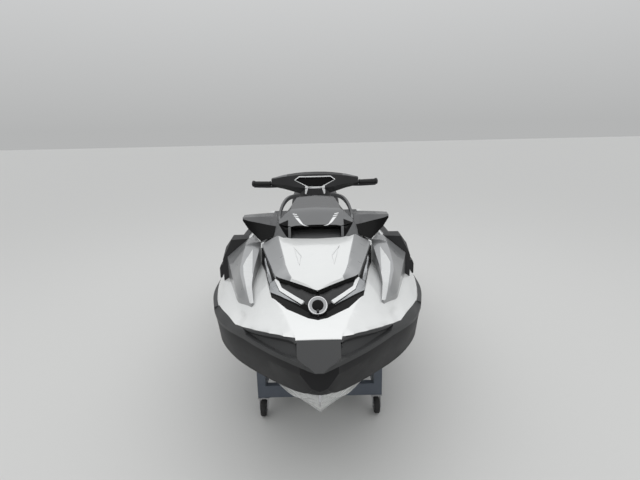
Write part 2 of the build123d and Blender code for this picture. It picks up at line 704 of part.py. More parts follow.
with BuildPart() as reverse_bucket:
    outer, inner = bucket_arc(bucket_radius, 18, 62), bucket_arc(bucket_radius - bucket_wall, 18, 62)
    with BuildSketch(Plane.YZ):
        with BuildLine():
            ThreePointArc(*outer)
            Line(outer[2], inner[2])
            ThreePointArc(*inner)
            Line(inner[0], outer[0])
        make_face()
    extrude(amount=bucket_half, both=True)
    for side in (1, -1):
        with BuildSketch(Plane.YZ.offset(side * bucket_half - (7 if side > 0 else 0))):
            with BuildLine():
                hub = (bucket_pivot.Y, bucket_pivot.Z)
                ThreePointArc(*outer)
                Line(outer[2], (hub[0] - 18, hub[1] + 14))
                ThreePointArc((hub[0] - 18, hub[1] + 14), (hub[0] - 20, hub[1] - 10), (hub[0] + 6, hub[1] - 22))
                Line((hub[0] + 6, hub[1] - 22), outer[0])
            make_face()
        extrude(amount=7)
reverse_bucket.part.label = "reverse_bucket"

impeller_front, impeller_back = 2975.0, 3068.0
with BuildPart() as impeller:
    with BuildSketch(across(engine_rear + 0.5)):
        Circle(shaft_radius)
    extrude(amount=impeller_front - engine_rear)
    with BuildSketch(across(impeller_front)):
        Circle(20)
    with BuildSketch(across(housing_back - 1)):
        Circle(30)
    loft()
    blade_faces = []
    for step in range(5):
        share = step / 4
        with BuildSketch(across(impeller_front + share * (impeller_back - impeller_front))) as blade:
            with PolarLocations(46, 1, start_angle=70 * share):
                Rectangle(63, 5)
        blade_faces.append(blade.sketch.face())
    blade = loft(sections=blade_faces, mode=Mode.PRIVATE)
    for turn in range(4):
        add(blade.rotate(Axis((0, 0, up(pump_height)), (0, 1, 0)), 90 * turn))
impeller.part.label = "impeller"

with BuildPart() as intake_grate:
    grate_length = 460.0
    for x in (-60, -36, -12, 12, 36, 60):
        add(side_slab([(aft(intake_start + 12), up(abs(x) * 0.3 + 8)), (aft(intake_start + grate_length), up(abs(x) * 0.3 + 14)),
                       (aft(intake_start + grate_length), up(abs(x) * 0.3 + 26)), (aft(intake_start + 12), up(abs(x) * 0.3 + 20))],
                      3).moved(Location((x, 0, 0))))
    box_between((-intake_half, aft(intake_start) + 0.1, up(6)), (intake_half, aft(intake_start + 14), up(44)))
    box_between((-intake_half, aft(intake_start + grate_length - 12), up(14)),
                (intake_half, aft(intake_start + grate_length + 12), up(46)))
    add(hull.part, mode=Mode.SUBTRACT)
intake_grate.part.label = "intake_grate"

ride_plate_length = 395.0
with BuildPart() as ride_plate:
    with BuildSketch(across(pump_front + seam, z=0)):
        with BuildLine():
            Polyline((0, 0), (148, 63), (148, 75), (0, 12), (-148, 75), (-148, 63), close=True)
        make_face()
    extrude(amount=ride_plate_length)
ride_plate.part.label = "ride_plate"

with BuildPart() as sponsons:
    for side in (1, -1):
        loft_across([(aft(s), [(side * 540, up(top)), (side * 540, up(low)), (side * out, up(low)), (side * (out + 3), up(low + 14)), (side * (out - 4), up(top))])
                     for s, low, top, out in [(2480, 262, 284, 602), (2620, 240, 312, 622), (2900, 238, 318, 622), (3120, 238, 312, 612)]])
    add(hull.part, mode=Mode.SUBTRACT)
sponsons.part.label = "sponsons"

with BuildPart() as engine_block:
    box_between(engine_low, engine_high)
engine_block.part.label = "engine_block"

eye_hole = 9.0
bow_eye_s, bow_eye_z = 79.0, 348.0
with BuildPart() as bow_eye:
    with BuildSketch(Plane.YZ.offset(-4)):
        with Locations((aft(bow_eye_s), up(bow_eye_z))):
            Circle(eye_hole + 11)
        with BuildLine():
            Polyline((aft(60), up(bow_eye_z + 8)), (aft(90), up(398)), (aft(140), up(378)), (aft(160), up(300)),
                     (aft(bow_eye_s + 12), up(bow_eye_z - 17)), close=True)
        make_face()
    extrude(amount=8)
    with Locations(Location((0, aft(bow_eye_s), up(bow_eye_z)), (0, 90, 0))):
        Cylinder(eye_hole, 40, mode=Mode.SUBTRACT)
    add(hull.part, mode=Mode.SUBTRACT)
    add(bow_bumper.part, mode=Mode.SUBTRACT)
bow_eye.part.label = "bow_eye"

with BuildPart() as stern_eyes:
    for side in (1, -1):
        with BuildSketch(Plane.YZ.offset(side * 260 - 4)):
            with Locations((aft(3340), up(350))):
                Circle(24)
        extrude(amount=8)
        with Locations(Location((side * 260, aft(3345), up(350)), (0, 90, 0))):
            Cylinder(eye_hole, 40, mode=Mode.SUBTRACT)
    add(hull.part, mode=Mode.SUBTRACT)
stern_eyes.part.label = "stern_eyes"

# ---- cradle ----
frame_front, frame_back = 870.0, 2800.0
frame_half, rail_tube, frame_low, frame_high = 377.0, 50.0, 120.0, 200.0
bunk_inner, bunk_outer, bunk_low = 292.0, 372.0, 370.0
with BuildPart() as trolley_frame:
    for side in (1, -1):
        box_between((min(side * frame_half, side * (frame_half - rail_tube)), aft(frame_front), frame_low + 20),
                    (max(side * frame_half, side * (frame_half - rail_tube)), aft(frame_back), frame_high))
        for s in (frame_front, 1835 - rail_tube / 2, frame_back - rail_tube):
            box_between((min(side * frame_half, side * (frame_half - rail_tube)), aft(s), frame_low + 20),
                        (max(side * frame_half, side * (frame_half - rail_tube)), aft(s + rail_tube), bunk_low))
    for s in (frame_front, 1835 - 20, frame_back - 40):
        box_between((-frame_half, aft(s), frame_low), (frame_half, aft(s + 40), frame_high))
trolley_frame.part.label = "trolley_frame"

with BuildPart() as trolley_bunks:
    for side in (1, -1):
        box_between((min(side * bunk_inner, side * bunk_outer), aft(frame_front - 20), bunk_low),
                    (max(side * bunk_inner, side * bunk_outer), aft(frame_back + 20), 520))
    add(hull.part, mode=Mode.SUBTRACT)
    box_between((-500, aft(frame_front - 100), 475), (500, aft(frame_back + 100), 600), Mode.SUBTRACT)
trolley_bunks.part.label = "trolley_bunks"

wheel_radius, wheel_width = 50.0, 34.0
caster_half = 345.0
caster_trail = -32.0
caster_places = {"front_left": (1, 905.0), "front_right": (-1, 905.0), "rear_left": (1, 2765.0), "rear_right": (-1, 2765.0)}
casters = []
for corner, (side, s) in caster_places.items():
    with BuildPart() as fork:
        box_between((side * caster_half - 34, aft(s) - 32, frame_low - 12), (side * caster_half + 34, aft(s) + 32, frame_low - 5))
        with Locations((side * caster_half, aft(s), frame_low - 5)):
            Cylinder(28, 5 - seam, align=(Align.CENTER, Align.CENTER, Align.MIN))
        for wall in (1, -1):
            middle = side * caster_half + wall * (wheel_width / 2 + 7)
            with BuildSketch(Plane.YZ.offset(middle - 2)):
                with BuildLine():
                    Polyline((aft(s) - 32, frame_low - 6), (aft(s) + 26, frame_low - 6),
                             (aft(s) + caster_trail + 10, wheel_radius - 14),
                             (aft(s) + caster_trail - 10, wheel_radius - 14),
                             (aft(s) + caster_trail - 16, wheel_radius), close=True)
                make_face()
            extrude(amount=4)
        with Locations(Location((side * caster_half, aft(s) + caster_trail, wheel_radius), (0, 90, 0))):
            Cylinder(6, wheel_width + 18)
    fork.part.label = f"caster_fork_{corner}"
    with BuildPart() as wheel:
        with BuildSketch(Plane.YZ.offset(side * caster_half - wheel_width / 2)):
            with Locations((aft(s) + caster_trail, wheel_radius)):
                Circle(wheel_radius)
                Circle(6.08, mode=Mode.SUBTRACT)
        extrude(amount=wheel_width)
        fillet(wheel.edges().filter_by(GeomType.CIRCLE).group_by(SortBy.RADIUS)[-1], 7)
    wheel.part.label = f"caster_wheel_{corner}"
    casters += [fork, wheel]

os.makedirs("parts", exist_ok=True)
for piece in (hull, deck, bow_bumper, rub_rails, storage_bin, hood, front_panel, badge, fairing_left, fairing_right,
              bolster_pads, dash_cowl, mirror_left, mirror_right, mirror_glass, gauge, console, seat_front, seat_rear,
              grab_handle, traction_mats, gunwale_pads, handlebar, grips, handlebar_cover, levers, pump_housing, venturi,
              steering_nozzle, reverse_bucket, impeller, intake_grate, ride_plate, sponsons, engine_block, bow_eye,
              stern_eyes, trolley_frame, trolley_bunks, *casters):
    part = piece.part
    print(part.label, round(part.volume / 1e6, 3), part.is_valid, len(part.faces()), len(part.solids()))
    export_step(part, f"parts/{part.label}.step")
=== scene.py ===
import json
import math

import bmesh
import bpy
from mathutils import Matrix, Vector

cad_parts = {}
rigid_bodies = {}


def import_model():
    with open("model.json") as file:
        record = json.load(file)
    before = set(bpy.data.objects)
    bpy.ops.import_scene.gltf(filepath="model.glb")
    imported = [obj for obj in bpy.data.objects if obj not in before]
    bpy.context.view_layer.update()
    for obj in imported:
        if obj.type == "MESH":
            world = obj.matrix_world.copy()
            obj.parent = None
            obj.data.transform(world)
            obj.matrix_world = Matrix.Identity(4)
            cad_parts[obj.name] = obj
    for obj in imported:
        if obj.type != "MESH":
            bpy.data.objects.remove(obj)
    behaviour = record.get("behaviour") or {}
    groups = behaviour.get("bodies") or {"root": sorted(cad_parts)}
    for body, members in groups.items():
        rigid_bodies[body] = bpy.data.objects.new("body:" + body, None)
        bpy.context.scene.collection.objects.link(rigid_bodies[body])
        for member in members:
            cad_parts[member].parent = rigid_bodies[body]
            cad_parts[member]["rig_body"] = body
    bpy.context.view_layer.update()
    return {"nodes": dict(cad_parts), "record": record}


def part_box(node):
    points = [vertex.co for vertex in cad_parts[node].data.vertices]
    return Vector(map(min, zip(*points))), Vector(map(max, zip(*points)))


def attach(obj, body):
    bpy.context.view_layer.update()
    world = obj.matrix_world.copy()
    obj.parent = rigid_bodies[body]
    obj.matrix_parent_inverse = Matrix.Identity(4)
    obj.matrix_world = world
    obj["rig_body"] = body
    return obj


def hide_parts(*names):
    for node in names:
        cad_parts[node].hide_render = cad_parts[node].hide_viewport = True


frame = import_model()
nodes = frame["nodes"]
craft = dict(length=3.45, keel=0.29)
print("frame loaded,", len(nodes), "nodes")


def place(x, s, z):  # millimetres: to port, aft of the bow tip, above the keel
    return Vector((x / 1000, s / 1000 - craft["length"] / 2, z / 1000 + craft["keel"]))


def measured(spot):  # the reverse of place
    return spot.x * 1000, (spot.y + craft["length"] / 2) * 1000, (spot.z - craft["keel"]) * 1000


def between(table, at):  # straight interpolation in a short table
    if at <= table[0][0]:
        return table[0][1]
    for (a, va), (b, vb) in zip(table, table[1:]):
        if at <= b:
            return va + (vb - va) * (at - a) / (b - a)
    return table[-1][1]


# camera
cameraView = dict(place=(0.00085, -3.1965, 1.7196), yaw=0.4834, pitch=14.717, roll=-1.2628, focal=24.657)


def makeCamera():
    yaw, pitch, roll = (math.radians(cameraView[k]) for k in ("yaw", "pitch", "roll"))
    ahead = Vector((math.sin(yaw) * math.cos(pitch), math.cos(yaw) * math.cos(pitch), -math.sin(pitch)))
    level = Vector((math.cos(yaw), -math.sin(yaw), 0))
    upright = level.cross(ahead)
    right = math.cos(roll) * level + math.sin(roll) * upright
    top = upright * math.cos(roll) - level * math.sin(roll)
    data = bpy.data.cameras.new("camera")
    data.sensor_width = 36
    data.lens = cameraView["focal"]
    data.clip_end = 100
    camera = bpy.data.objects.new("camera", data)
    camera.matrix_world = Matrix.Translation(cameraView["place"]) @ Matrix((right, top, -ahead)).transposed().to_4x4()
    bpy.context.scene.collection.objects.link(camera)
    bpy.context.scene.camera = camera


makeCamera()
print("camera set")

# light and floor
studio = dict(low=(0.455, 0.46, 0.46), high=(1.05, 1.06, 1.07), floor=(0.62, 0.62, 0.61), floorSize=40,
              panels=[((0, -0.4, 4.4), (0, -0.4, 0), (5.6, 7.0), 60)])


def makeStudio():
    world = bpy.data.worlds.new("studio")
    bpy.context.scene.world = world
    world.use_nodes = True
    tree = world.node_tree
    spot = tree.nodes.new("ShaderNodeTexCoord")
    split = tree.nodes.new("ShaderNodeSeparateXYZ")
    rise = tree.nodes.new("ShaderNodeMapRange")
    sky = tree.nodes.new("ShaderNodeMix")
    sky.data_type = "RGBA"
    sky.inputs["A"].default_value = (*studio["low"], 1)
    sky.inputs["B"].default_value = (*studio["high"], 1)
    tree.links.new(spot.outputs["Generated"], split.inputs["Vector"])
    tree.links.new(split.outputs["Z"], rise.inputs["Value"])
    tree.links.new(rise.outputs["Result"], sky.inputs["Factor"])
    tree.links.new(sky.outputs["Result"], tree.nodes["Background"].inputs["Color"])
    for number, (spot, aim, size, power) in enumerate(studio["panels"]):
        data = bpy.data.lights.new(f"softbox{number}", "AREA")
        data.shape, data.size, data.size_y, data.energy = "RECTANGLE", size[0], size[1], power
        light = bpy.data.objects.new(f"softbox{number}", data)
        light.location = spot
        light.rotation_euler = (Vector(aim) - Vector(spot)).to_track_quat("-Z", "Y").to_euler()
        bpy.context.scene.collection.objects.link(light)
    bm = bmesh.new()
    bmesh.ops.create_grid(bm, x_segments=1, y_segments=1, size=studio["floorSize"])
    mesh = bpy.data.meshes.new("floor")
    bm.to_mesh(mesh)
    bm.free()
    floor = bpy.data.objects.new("floor", mesh)
    bpy.context.scene.collection.objects.link(floor)
    paint = bpy.data.materials.new("floor")
    paint.use_nodes = True
    shader = paint.node_tree.nodes["Principled BSDF"]
    shader.inputs["Base Color"].default_value = (*studio["floor"], 1)
    shader.inputs["Roughness"].default_value = 0.6
    mesh.materials.append(paint)


bpy.context.scene.view_settings.view_transform = "Standard"
makeStudio()
print("studio set")


# shader groups shared by the finishes
def newGroup(name, inputs, outputs):
    group = bpy.data.node_groups.new(name, "ShaderNodeTree")
    for label, value in inputs:
        socket = group.interface.new_socket(label, in_out="INPUT", socket_type="NodeSocketFloat")
        socket.default_value = value
    for label in outputs:
        group.interface.new_socket(label, in_out="OUTPUT", socket_type="NodeSocketFloat")
    return group, group.nodes.new("NodeGroupInput"), group.nodes.new("NodeGroupOutput")


def addNode(tree, kind, links=(), **settings):
    node = tree.nodes.new(kind)
    for key, value in settings.items():
        if key in node.inputs.keys():
            node.inputs[key].default_value = value
        else:
            setattr(node, key, value)
    for source, socket in links:
        tree.links.new(source, node.inputs[socket])
    return node


def makeGroups():
    # moulded grain: small pebbles, and a slow change of tone
    group, given, made = newGroup("mouldedGrain", [("Scale", 900.0), ("Slow", 5.0)], ["Height", "Tone"])
    spot, given = addNode(group, "ShaderNodeTexCoord").outputs["Object"], given.outputs
    pebble = addNode(group, "ShaderNodeTexVoronoi", [(spot, "Vector"), (given["Scale"], "Scale")],
                     feature="SMOOTH_F1")
    slow = addNode(group, "ShaderNodeTexNoise", [(spot, "Vector"), (given["Slow"], "Scale")], Detail=4.0)
    group.links.new(pebble.outputs["Distance"], made.inputs["Height"])
    group.links.new(slow.outputs["Fac"], made.inputs["Tone"])
    # polish: faint waviness of a gloss coat, wipe marks and fine dust
    group, given, made = newGroup("polish", [("Wave", 60.0), ("Wipe", 9.0)], ["Height", "Wipe", "Dust"])
    spot, given = addNode(group, "ShaderNodeTexCoord").outputs["Object"], given.outputs
    wave = addNode(group, "ShaderNodeTexNoise", [(spot, "Vector"), (given["Wave"], "Scale")], Detail=1.0)
    stretch = addNode(group, "ShaderNodeMapping", [(spot, "Vector")], Scale=(1.0, 3.0, 1.6)).outputs["Vector"]
    wipe = addNode(group, "ShaderNodeTexNoise", [(stretch, "Vector"), (given["Wipe"], "Scale")], Detail=6.0,
                   Roughness=0.6)
    dust = addNode(group, "ShaderNodeTexNoise", [(spot, "Vector")], Scale=350.0, Detail=2.0)
    fine = addNode(group, "ShaderNodeMapRange", [(dust.outputs["Fac"], "Value")],
                   **{"From Min": 0.62, "From Max": 0.78})
    group.links.new(wave.outputs["Fac"], made.inputs["Height"])
    group.links.new(wipe.outputs["Fac"], made.inputs["Wipe"])
    group.links.new(fine.outputs["Result"], made.inputs["Dust"])


makeGroups()

# finishes: base and second colour, roughness range, coat, metal, grain scale and depth in metres
finishes = {
    "hull_gelcoat": dict(kind="polish", base=(0.62, 0.63, 0.62), second=(0.58, 0.59, 0.585), rough=(0.2, 0.34),
                         coat=0.4),
    "hullTopsides": dict(kind="grain", base=(0.017, 0.017, 0.018), second=(0.024, 0.024, 0.025), rough=(0.42, 0.54),
                         shine=0.12, scale=900, depth=0.00015),
    "deck_gelcoat": dict(kind="polish", base=(0.80, 0.81, 0.805), second=(0.77, 0.78, 0.775), rough=(0.14, 0.26),
                         coat=0.8),
    "bumper_plastic": dict(kind="grain", base=(0.036, 0.037, 0.038), second=(0.048, 0.049, 0.050), rough=(0.40, 0.55),
                           shine=0.35, scale=700, depth=0.00025),
    "black_plastic": dict(kind="polish", base=(0.004, 0.004, 0.004), second=(0.006, 0.006, 0.006), rough=(0.2, 0.3),
                          shine=0.1),
    # the panel's upper facet: satin black, painted lighter as painted light where it faces up
    "panelSatinLit": dict(kind="grain", base=(0.020, 0.020, 0.021), second=(0.027, 0.027, 0.028), rough=(0.34, 0.46),
                       shine=0.4, scale=1100, depth=0.00015),
    "textured_black": dict(kind="grain", base=(0.018, 0.018, 0.019), second=(0.028, 0.028, 0.029), rough=(0.48, 0.66),
                           shine=0.35, scale=520, depth=0.0005),
    "hood_paint": dict(kind="polish", base=(0.72, 0.73, 0.72), second=(0.69, 0.70, 0.70), rough=(0.15, 0.28),
                       coat=0.8),
    "silverPaint": dict(kind="polish", base=(0.27, 0.275, 0.28), second=(0.33, 0.335, 0.34), rough=(0.26, 0.38),
                        coat=0.7, metal=0.35),
    "fairing_paint": dict(kind="polish", base=(0.68, 0.69, 0.69), second=(0.64, 0.65, 0.65), rough=(0.18, 0.32),
                          coat=0.7),
    "cowl_plastic": dict(kind="grain", base=(0.140, 0.143, 0.146), second=(0.165, 0.168, 0.171), rough=(0.30, 0.42),
                         scale=1100, depth=0.00012),
    "cowlDome": dict(kind="grain", base=(0.070, 0.071, 0.073), second=(0.088, 0.089, 0.091), rough=(0.22, 0.34),
                     scale=1200, depth=0.0001),
    "accent_white": dict(kind="polish", base=(0.84, 0.85, 0.85), second=(0.79, 0.80, 0.80), rough=(0.12, 0.22),
                         coat=0.8),
    "trim_silver": dict(kind="polish", base=(0.30, 0.31, 0.32), second=(0.36, 0.37, 0.38), rough=(0.22, 0.34),
                        coat=0.6, metal=0.6),
    # mirror housings' upper facet: grey painted on black plastic as a painted highlight
    "mirrorTopHighlight": dict(kind="polish", base=(0.090, 0.091, 0.094), second=(0.12, 0.121, 0.124), rough=(0.18, 0.30),
                      shine=0.5),
    "whiteTrim": dict(kind="polish", base=(0.86, 0.87, 0.87), second=(0.80, 0.81, 0.81), rough=(0.2, 0.32), coat=0.5),
    "vinylGrey": dict(kind="grain", base=(0.085, 0.087, 0.090), second=(0.105, 0.107, 0.110), rough=(0.42, 0.58),
                      scale=330, depth=0.0006),
    "hubPlastic": dict(kind="grain", base=(0.10, 0.10, 0.105), second=(0.13, 0.13, 0.135), rough=(0.4, 0.55),
                       scale=700, depth=0.0003),
    "bin_plastic": dict(kind="grain", base=(0.035, 0.036, 0.038), second=(0.05, 0.051, 0.053), rough=(0.5, 0.65),
                        scale=600, depth=0.0004),
    "mirror": dict(kind="polish", base=(0.86, 0.88, 0.90), second=(0.83, 0.85, 0.87), rough=(0.01, 0.04), metal=1.0),
    "badge_metal": dict(kind="brushed", base=(0.62, 0.62, 0.63), second=(0.72, 0.72, 0.73), rough=(0.18, 0.34),
                        metal=0.9),
    "gauge_face": dict(kind="polish", base=(0.008, 0.009, 0.011), second=(0.012, 0.013, 0.016), rough=(0.06, 0.16),
                       coat=1.0),
    "vinyl": dict(kind="grain", base=(0.022, 0.022, 0.024), second=(0.034, 0.034, 0.036), rough=(0.42, 0.58),
                  scale=330, depth=0.0006),
    "mat_foam": dict(kind="ribs", base=(0.055, 0.056, 0.058), second=(0.075, 0.076, 0.078), rough=(0.75, 0.9)),
    "grip_rubber": dict(kind="grain", base=(0.014, 0.014, 0.014), second=(0.022, 0.022, 0.022), rough=(0.6, 0.75),
                        scale=900, depth=0.0004),
    "bar_alloy": dict(kind="grain", base=(0.018, 0.018, 0.020), second=(0.026, 0.026, 0.028), rough=(0.28, 0.4),
                      metal=0.5, scale=1400, depth=0.0001),
    "pump_alloy": dict(kind="cast", base=(0.40, 0.41, 0.42), second=(0.50, 0.51, 0.52), rough=(0.40, 0.55),
                       metal=0.85),
    "impeller_steel": dict(kind="brushed", base=(0.58, 0.58, 0.58), second=(0.68, 0.68, 0.68), rough=(0.2, 0.36),
                           metal=1.0),
    "stainless": dict(kind="brushed", base=(0.40, 0.40, 0.41), second=(0.50, 0.50, 0.51), rough=(0.16, 0.30),
                      metal=1.0),
    "engine_alloy": dict(kind="cast", base=(0.22, 0.22, 0.23), second=(0.28, 0.28, 0.29), rough=(0.5, 0.65),
                         metal=0.7),
    "pump_plastic": dict(kind="grain", base=(0.022, 0.023, 0.024), second=(0.034, 0.035, 0.036), rough=(0.45, 0.6),
                         scale=800, depth=0.0003),
    "cradle_paint": dict(kind="painted", base=(0.075, 0.090, 0.115), second=(0.10, 0.115, 0.14), rough=(0.34, 0.52)),
    "bunk_carpet": dict(kind="carpet", base=(0.020, 0.021, 0.023), second=(0.055, 0.056, 0.058), rough=(0.9, 0.98)),
    "caster_steel": dict(kind="brushed", base=(0.45, 0.45, 0.46), second=(0.56, 0.56, 0.57), rough=(0.28, 0.44),
                         metal=1.0),
    "caster_tyre": dict(kind="grain", base=(0.012, 0.012, 0.012), second=(0.022, 0.022, 0.022), rough=(0.7, 0.85),
                        scale=260, depth=0.0006)}


def makeFinish(name):
    look = finishes[name]
    paint = bpy.data.materials.new(name)
    paint.use_nodes = True
    tree = paint.node_tree
    shader = tree.nodes["Principled BSDF"]
    shader.inputs["Metallic"].default_value = look.get("metal", 0.0)
    shader.inputs["Coat Weight"].default_value = look.get("coat", 0.0)
    shader.inputs["Coat Roughness"].default_value = 0.04
    shader.inputs["Specular IOR Level"].default_value = look.get("shine", 0.5)
    kind, groups = look["kind"], bpy.data.node_groups
    if kind in ("polish", "painted"):
        effect = addNode(tree, "ShaderNodeGroup", node_tree=groups["polish"])
        tone, height, depth = effect.outputs["Wipe"], effect.outputs["Height"], 0.0004 if kind == "polish" else 0.0008
    elif kind == "grain":
        effect = addNode(tree, "ShaderNodeGroup", node_tree=groups["mouldedGrain"], Scale=float(look["scale"]))
        tone, height, depth = effect.outputs["Tone"], effect.outputs["Height"], look["depth"]
    else:
        spot = addNode(tree, "ShaderNodeTexCoord")
        stretch = {"brushed": (8.0, 8.0, 400.0), "cast": (240.0, 240.0, 240.0), "carpet": (900.0, 900.0, 900.0),
                   "ribs": (60.0, 60.0, 60.0)}[kind]
        shift = addNode(tree, "ShaderNodeMapping", [(spot.outputs["Object"], "Vector")], Scale=stretch)
        noise = addNode(tree, "ShaderNodeTexNoise", [(shift.outputs["Vector"], "Vector")], Scale=1.0, Detail=5.0)
        tone, height = noise.outputs["Fac"], noise.outputs["Fac"]
        depth = {"brushed": 0.00005, "cast": 0.0006, "carpet": 0.003, "ribs": 0.0006}[kind]
        if kind == "ribs":
            turn = addNode(tree, "ShaderNodeMapping", [(spot.outputs["Object"], "Vector")], Rotation=(0, 0, 0.9))
            ribs = addNode(tree, "ShaderNodeTexWave", [(turn.outputs["Vector"], "Vector")], Scale=16.0)
            height, depth = ribs.outputs["Fac"], 0.0015
    mix = addNode(tree, "ShaderNodeMix", [(tone, "Factor")], data_type="RGBA")
    mix.inputs["A"].default_value = (*look["base"], 1)
    mix.inputs["B"].default_value = (*look["second"], 1)
    tree.links.new(mix.outputs["Result"], shader.inputs["Base Color"])
    span = addNode(tree, "ShaderNodeMapRange", [(tone, "Value")],
                   **{"From Min": 0.3, "From Max": 0.7, "To Min": look["rough"][0], "To Max": look["rough"][1]})
    tree.links.new(span.outputs["Result"], shader.inputs["Roughness"])
    bump = addNode(tree, "ShaderNodeBump", [(height, "Height")], Distance=depth, Strength=0.6)
    tree.links.new(bump.outputs["Normal"], shader.inputs["Normal"])
    return paint


paints = {name: makeFinish(name) for name in finishes}
print("finishes made,", len(paints))


# helpers for pieces
def addPiece(name, bm, body, paintNames):
    mesh = bpy.data.meshes.new(name)
    bm.to_mesh(mesh)
    bm.free()
    piece = bpy.data.objects.new(name, mesh)
    bpy.context.scene.collection.objects.link(piece)
    for paintName in paintNames:
        mesh.materials.append(paints[paintName])
    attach(piece, body)
    return piece


def soften(piece, width, sharp=28):
    edges = piece.modifiers.new("edges", "BEVEL")
    edges.width, edges.segments, edges.limit_method = width, 2, "ANGLE"
    edges.angle_limit = math.radians(sharp)
    edges.harden_normals = True


def shade(bm, sharp=28):
    for face in bm.faces:
        face.smooth = True
    for edge in bm.edges:
        if len(edge.link_faces) == 2 and edge.calc_face_angle(0) > math.radians(sharp):
            edge.smooth = False


def inside(outline, across, along):  # whether a point lies in a closed outline
    hit = False
    for (ax, ay), (bx, by) in zip(outline, outline[1:] + outline[:1]):
        if (ay > along) != (by > along) and across < (bx - ax) * (along - ay) / (by - ay) + ax:
            hit = not hit
    return hit


def cut(bm, faces, point, normal, dist=0.0):  # adds edges to some faces where a plane crosses them
    edges = dict.fromkeys(edge for face in faces for edge in face.edges)
    verts = dict.fromkeys(v for face in faces for v in face.verts)
    bmesh.ops.bisect_plane(bm, geom=[*verts, *edges, *faces], plane_co=point, plane_no=normal, dist=dist)


def paintZone(bm, outline, index, top=True, facing=0.2, lift=0.0, wall=0.8, sides=(1, -1)):
    # paints an outline of (x, s) seen from above, or of (x, z) seen from the bow, and raises or sinks it
    def spread(spot):
        x, s, z = measured(spot)
        return x, s if top else z

    def ready(face):
        return face.normal.z > facing if top else -face.normal.y > facing

    def meets(face, low, high):
        spots = [spread(v.co) for v in face.verts]
        return all(min(spot[k] for spot in spots) < high[k] and max(spot[k] for spot in spots) > low[k]
                   for k in (0, 1))

    for side in sides:
        flat = [(side * x, other) for x, other in outline]
        low = [min(point[k] for point in flat) - 2 for k in (0, 1)]
        high = [max(point[k] for point in flat) + 2 for k in (0, 1)]
        for (ax, ay), (bx, by) in zip(flat, flat[1:] + flat[:1]):
            near = [face for face in bm.faces if ready(face) and meets(face, low, high)]
            point = place(ax, ay, 0) if top else place(ax, 0, ay)
            normal = Vector((by - ay, ax - bx, 0)) if top else Vector((by - ay, 0, ax - bx))
            cut(bm, near, point, normal.normalized(), 0.00001)
        bm.normal_update()
        zone = [face for face in bm.faces if ready(face) and inside(flat, *spread(face.calc_center_median()))]
        if lift and zone:
            zone += bmesh.ops.inset_region(bm, faces=zone, thickness=wall / 1000, depth=lift / 1000,
                                           use_boundary=True, use_even_offset=True)["faces"]
        for face in zone:
            face.material_index = index


def evened(bm):  # swaps the diagonals of narrow triangles, so that a curved side shades evenly
    bmesh.ops.triangulate(bm, faces=bm.faces)
    gentle = [edge for edge in bm.edges if len(edge.link_faces) == 2 and edge.calc_face_angle(0) < math.radians(12)]
    bmesh.ops.beautify_fill(bm, faces=bm.faces, edges=gentle, method="ANGLE")


def dress(node, paintNames, pick=None, sharp=28, bevel=0.0, flatten=0.4, cuts=(), zones=(), shape=None):
    source = nodes[node]
    bm = bmesh.new()
    bm.from_mesh(source.data)
    bmesh.ops.remove_doubles(bm, verts=bm.verts, dist=0.00002)
    if flatten:
        bmesh.ops.dissolve_limit(bm, angle_limit=math.radians(flatten), verts=bm.verts, edges=bm.edges,
                                 delimit={"SHARP"})
    for point, normal in cuts:
        cut(bm, bm.faces[:], point, normal)
    if shape:
        shape(bm)
    bm.normal_update()
    if pick:
        for face in bm.faces:
            face.material_index = pick(face)
    for zone in zones:
        paintZone(bm, **zone)
    shade(bm, sharp)
    piece = addPiece("finished_" + node, bm, source["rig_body"], paintNames)
    if bevel:
        soften(piece, bevel, sharp)
    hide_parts(node)


def spun(profile, steps, axis=(0, 0, 1)):  # a profile of (radius, height) turned round +Z, then laid along the axis
    bm = bmesh.new()
    points = [bm.verts.new((radius, 0, height)) for radius, height in profile]
    for a, b in zip(points, points[1:]):
        bm.edges.new((a, b))
    bmesh.ops.spin(bm, geom=bm.verts[:] + bm.edges[:], cent=(0, 0, 0), axis=(0, 0, 1), angle=math.tau, steps=steps,
                   use_merge=True)
    bmesh.ops.remove_doubles(bm, verts=bm.verts, dist=0.000001)
    bmesh.ops.recalc_face_normals(bm, faces=bm.faces)
    bmesh.ops.transform(bm, matrix=Vector(axis).to_track_quat("Z", "Y").to_matrix().to_4x4(), verts=bm.verts)
    return bm


def join(pieces):  # several small meshes in one
    whole = bmesh.new()
    for bm in pieces:
        part = bpy.data.meshes.new("part")
        bm.to_mesh(part)
        bm.free()
        whole.from_mesh(part)
        bpy.data.meshes.remove(part)
    return whole


def moved(bm, spot):
    bmesh.ops.translate(bm, verts=bm.verts, vec=spot)
    return bm


def lofted(sections, closed=True):  # outlines bridged in turn, with both ends filled
    bm = bmesh.new()
    loops = []
    for outline in sections:
        points = [bm.verts.new(spot) for spot in outline]
        ends = points[1:] + points[:1] if closed else points[1:]
        loops.append([bm.edges.new(pair) for pair in zip(points, ends)])
    for a, b in zip(loops, loops[1:]):
        bmesh.ops.bridge_loops(bm, edges=a + b)
    if closed:
        for ends in (loops[0], loops[-1]):
            bmesh.ops.contextual_create(bm, geom=ends)
    bmesh.ops.recalc_face_normals(bm, faces=bm.faces)
    return bm


